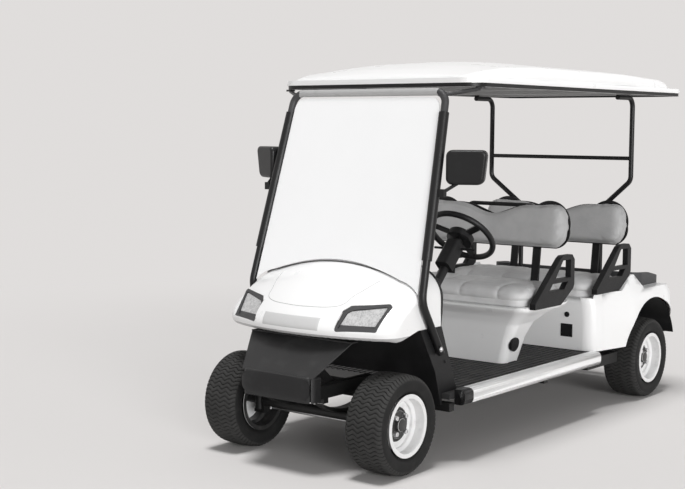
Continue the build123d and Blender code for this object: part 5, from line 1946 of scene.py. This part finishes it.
@dataclass
class Fittings:
    """Mirror glass, seat shells' dips, painted shade under the roof, the hoop's greys, sill ends,
    bolts and the wheel's middle pad.
    """

    finishes: Finishes
    made: dict[str, Piece]
    wheel_centre: Point = (0.246, from_axle(0.835), 1.012)
    wheel_angle: float = 46.0
    pad_outline: Table = (
        # offset towards the driver, radius
        (-0.030, 0.0672), (0.0, 0.0680), (0.0040, 0.0650), (0.0050, 0.0560), (0.0030, 0.0530),
        (0.0035, 0.0480), (0.0075, 0.0440), (0.0085, 0.0300), (0.0085, 0.0),
    )
    glass_height: float = 1.372
    glass_reach: float = 0.600
    glass_half_width: float = 0.05
    glass_half_height: float = 0.045
    liner_reach: float = 0.570
    head_foot: float = 1.28
    head_top: float = 1.451
    head_height: float = 0.158
    head_taper: float = 0.020
    taper_width: float = 0.06
    dip_half: float = 0.20
    dip_depth: float = 0.022
    dip_start: float = 0.160
    dip_front: float = 0.07
    dip_rear: float = 0.026
    # bounds of the painted shade under the roof
    shade_half: float = 0.545
    shade_front: float = from_axle(0.47)
    shade_rear: float = from_axle(2.60)
    shade_low: float = 1.748
    hoop_grey: float = 1.622
    hoop_pale: float = 1.690
    hoop_half: float = 0.415
    sill_cap: float = from_axle(0.425)

    def mirrors(self) -> None:
        """Silver the glass in the mirror heads."""
        heads = self.made["mirrors"]
        Bench.dress(heads, self.finishes.smooth_trim, self.finishes.mirror)

        def glass(centre: Vector, normal: Vector) -> bool:
            """Return whether a face is part of the glass.

            Args:
                centre: The face's centre.
                normal: Its normal.

            Returns:
                True for the glass.
            """
            beside = abs(abs(centre.x) - self.glass_reach) < self.glass_half_width
            level = abs(centre.z - self.glass_height) < self.glass_half_height
            return normal.y > 0.85 and level and beside

        Bench.paint(heads, 1, glass)

    def tuck(self) -> None:
        """Keep the arch liners' outer edge behind the body's skin, and taper the mirror heads."""
        for vertex in self.made["wheel_arch_liners"].data.vertices:
            if abs(vertex.co.x) > self.liner_reach:
                vertex.co.x = math.copysign(self.liner_reach, vertex.co.x)
        for vertex in self.made["mirrors"].data.vertices:
            out = abs(vertex.co.x) - self.glass_reach
            if out > 0 and vertex.co.z > self.head_foot:
                low = clamped((self.head_top - vertex.co.z) / self.head_height)
                pull = self.head_taper * low * min(out / self.taper_width, 1.0)
                vertex.co.x -= math.copysign(pull, vertex.co.x)

    def dips(self) -> None:
        """Carve the seat shells' upper edges down to the dips of their pads."""
        for node in ("front_back_shell", "rear_back_shell"):
            low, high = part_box(node.replace("back_shell", "backrest"))
            front, rear = low.y + self.dip_front, high.y + self.dip_rear
            for vertex in self.made[node].data.vertices:
                spot = vertex.co
                edge = self.dip_start < spot.z - low.z and front < spot.y < rear
                if abs(spot.x) < self.dip_half and edge:
                    wave = 0.5 + 0.5 * math.cos(math.pi * spot.x / self.dip_half)
                    spot.z -= self.dip_depth * wave

    def paint_roof_shade(self) -> None:
        """Paint shade in grey on the roof's underside and the middle of its rails, and grey the hoop's
        upper part, pale across its top.
        """
        rails = self.made["roof_frame"]
        Bench.dress(rails, self.finishes.frame, self.finishes.underside_shade)
        # painted shade: grey on the rails' middle and on the roof's downward faces
        Bench.paint(
            rails, 1,
            lambda c, n: abs(c.x) < self.shade_half and self.shade_front < c.y < self.shade_rear,
        )
        hoop = self.made["screen_hoop"]
        Bench.dress(hoop, self.finishes.frame, self.finishes.bezel, self.finishes.hoop_top)
        Bench.paint(hoop, 1, lambda c, n: c.z > self.hoop_grey)
        Bench.paint(hoop, 2, lambda c, n: c.z > self.hoop_pale and abs(c.x) < self.hoop_half)
        roof = self.made["roof_shell"]
        Bench.dress(roof, self.finishes.panel, self.finishes.underside_shade)
        Bench.paint(roof, 1, lambda c, n: n.z < -0.15 and c.z > self.shade_low)

    def sills(self) -> None:
        """Cap the sills' front ends in black."""
        sills = self.made["side_sills"]
        Bench.slice(sills, Vector((0, self.sill_cap, 0)), Vector((0, 1, 0)))
        Bench.dress(sills, self.finishes.panel, self.finishes.smooth_trim)
        Bench.paint(sills, 1, lambda c, n: c.y < self.sill_cap)

    def bolt(self, name: str, place: Point, way: Point, radius: float, material: Any) -> Piece:
        """Turn a domed bolt head with its washer.

        Args:
            name: Its name.
            place: The middle of its foot.
            way: Where its head points.
            radius: The washer's radius.
            material: Its finish.

        Returns:
            The bolt.
        """
        washer = 0.0015
        outline = (
            (0.0, radius), (washer, radius), (washer + 0.0005, radius * 0.72),
            (radius * 0.45, radius * 0.66), (radius * 0.62, radius * 0.45), (radius * 0.68, 0.0),
        )
        piece = Bench.ring(name, outline, 18)
        piece.data.transform(Bench.aimed(place, way))
        Bench.dress(piece, material)
        return piece

    def bolts(self) -> None:
        """Set the bolts of the pillar feet and the footwell."""
        rows = [
            # name, X, Y, Z, radius, finish
            ("pillar_foot", 0.5345, from_axle(0.236), 0.545, 0.0125, self.finishes.plate),
            ("footwell_side", 0.4950, from_axle(0.330), 0.470, 0.0085, self.finishes.smooth_trim),
        ]
        parts = []
        for name, x, y, z, radius, material in rows:
            for side in (1, -1):
                spot, way = (side * x, y, z), (side, 0, 0)
                parts.append(self.bolt(f"{name}_bolt", spot, way, radius, material))
        piece = Bench.join("body_bolts", parts)
        Bench.smooth(piece, 30.0)
        Bench.seat(piece, CHASSIS, Slot.BRIGHT)

    def wheel_pad(self) -> None:
        """Set the moulded pad in the middle of the steering wheel."""
        angle = math.radians(self.wheel_angle)
        axis = Vector((0, math.cos(angle), math.sin(angle)))
        piece = Bench.ring("wheel_middle_pad", self.pad_outline, 56)
        piece.data.transform(Bench.aimed(self.wheel_centre, axis))
        Bench.smooth(piece, 30.0)
        Bench.dress(piece, self.finishes.trim)
        Bench.seat(piece, "steering", Slot.TRIM)

    def build(self) -> None:
        """Make all the fittings."""
        self.mirrors()
        self.tuck()
        self.dips()
        self.paint_roof_shade()
        self.sills()
        self.bolts()
        self.wheel_pad()


def carried_pieces(finishes: Finishes) -> list[Carried]:
    """Return the table of CAD nodes that are shown as smoothed copies.

    Args:
        finishes: The cart's materials.

    Returns:
        One entry for each node.
    """
    rows = [
        # node, piece, slot, finish, crease in degrees, eased edge in metres
        ("chassis_frame", "welded_chassis", Slot.FRAME, finishes.running_gear, 30, 0.0012),
        ("floor_panel", "ribbed_floor", Slot.FLOOR, finishes.floor, 30, 0.0012),
        ("side_sills", "white_sills", Slot.BODY, finishes.panel, 40),
        ("front_cowl", "nose_cowl", Slot.BODY, finishes.panel, 35),
        ("headlamp_bezels", "lamp_bezels", Slot.TRIM, finishes.bezel, 30, 0.0012),
        ("headlamp_lenses", "lamp_lenses", Slot.LENS, finishes.lens, 30, 0.002),
        ("front_valance", "nose_valance", Slot.TRIM, finishes.valance, 30, 0.002),
        ("footwell_shell", "footwell_moulding", Slot.TRIM, finishes.trim, 30, 0.002),
        ("dashboard", "dash_moulding", Slot.TRIM, finishes.trim, 30, 0.0015),
        ("screen_hoop", "screen_pillars", Slot.FRAME, finishes.frame, 35),
        ("windscreen", "screen_sheet", Slot.SCREEN, finishes.screen, 1),
        ("roof_shell", "roof_moulding", Slot.BODY, finishes.panel, 38),
        ("roof_frame", "roof_edge_frame", Slot.FRAME, finishes.frame, 30, 0.001),
        ("rear_struts", "rear_roof_struts", Slot.FRAME, finishes.frame, 35),
        ("mirrors", "mirror_heads", Slot.TRIM, finishes.trim, 35, 0.0015),
        ("steering_wheel", "hand_wheel", Slot.TRIM, finishes.smooth_trim, 40),
        ("steering_column", "column_and_shroud", Slot.TRIM, finishes.trim, 35, 0.009),
        ("pedals", "foot_pedals", Slot.TRIM, finishes.trim, 30, 0.001),
        ("front_podium", "seat_podium", Slot.BODY, finishes.panel, 38),
        ("front_back_shell", "front_seat_shell", Slot.TRIM, finishes.trim, 35, 0.0015),
        ("armrests", "seat_armrests", Slot.TRIM, finishes.trim, 35, 0.003),
        ("rear_body", "rear_body_moulding", Slot.BODY, finishes.panel, 35),
        ("rear_back_shell", "rear_seat_shell", Slot.TRIM, finishes.trim, 35, 0.0015),
        ("wheel_arch_liners", "arch_liners", Slot.TRIM, finishes.trim, 35),
        ("tail_lamps", "tail_lamp_lenses", Slot.RED, finishes.red, 30, 0.002),
        ("body_ports", "charging_socket_and_key", Slot.TRIM, finishes.trim, 30, 0.001),
        ("bag_deck", "bag_well", Slot.DECK, finishes.grey_deck, 30, 0.002),
        ("front_axle", "front_beam", Slot.FRAME, finishes.running_gear, 35, 0.001),
        ("knuckle_left", "left_knuckle", Slot.FRAME, finishes.running_gear, 35, 0.0008),
        ("knuckle_right", "right_knuckle", Slot.FRAME, finishes.running_gear, 35, 0.0008),
        ("tie_rod", "track_rod", Slot.BRIGHT, finishes.plate, 35),
        ("rear_axle", "rear_axle_and_motor", Slot.FRAME, finishes.running_gear, 35, 0.001),
        ("battery_block", "battery_pack", Slot.BATTERY, finishes.battery, 30, 0.003),
    ]
    bodies = {"steering_wheel": "steering"}
    bodies.update({node: node for node in ("knuckle_left", "knuckle_right", "tie_rod")})
    for corner in CORNERS:
        rows.append((f"rim_{corner}", f"dished_rim_{corner}", Slot.RIM, finishes.rim, 35, 0.0008))
        bodies[f"rim_{corner}"] = f"wheel_{corner}"
    return [Carried(node, piece, bodies.get(node, CHASSIS), *rest) for node, piece, *rest in rows]


def main() -> None:
    """Build the studio and every sub-assembly in order."""
    logging.basicConfig(level=logging.INFO, format="%(name)s: %(message)s")
    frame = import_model()
    finishes = Finishes()
    Studio().build()
    made = {row.node: row.build(frame) for row in carried_pieces(finishes)}
    Tyre(finishes).build()
    Hubs(finishes, made).build()
    Nose(finishes, made).build()
    Fittings(finishes, made).build()
    Seats(finishes).build()


if __name__ == "__main__":
    main()
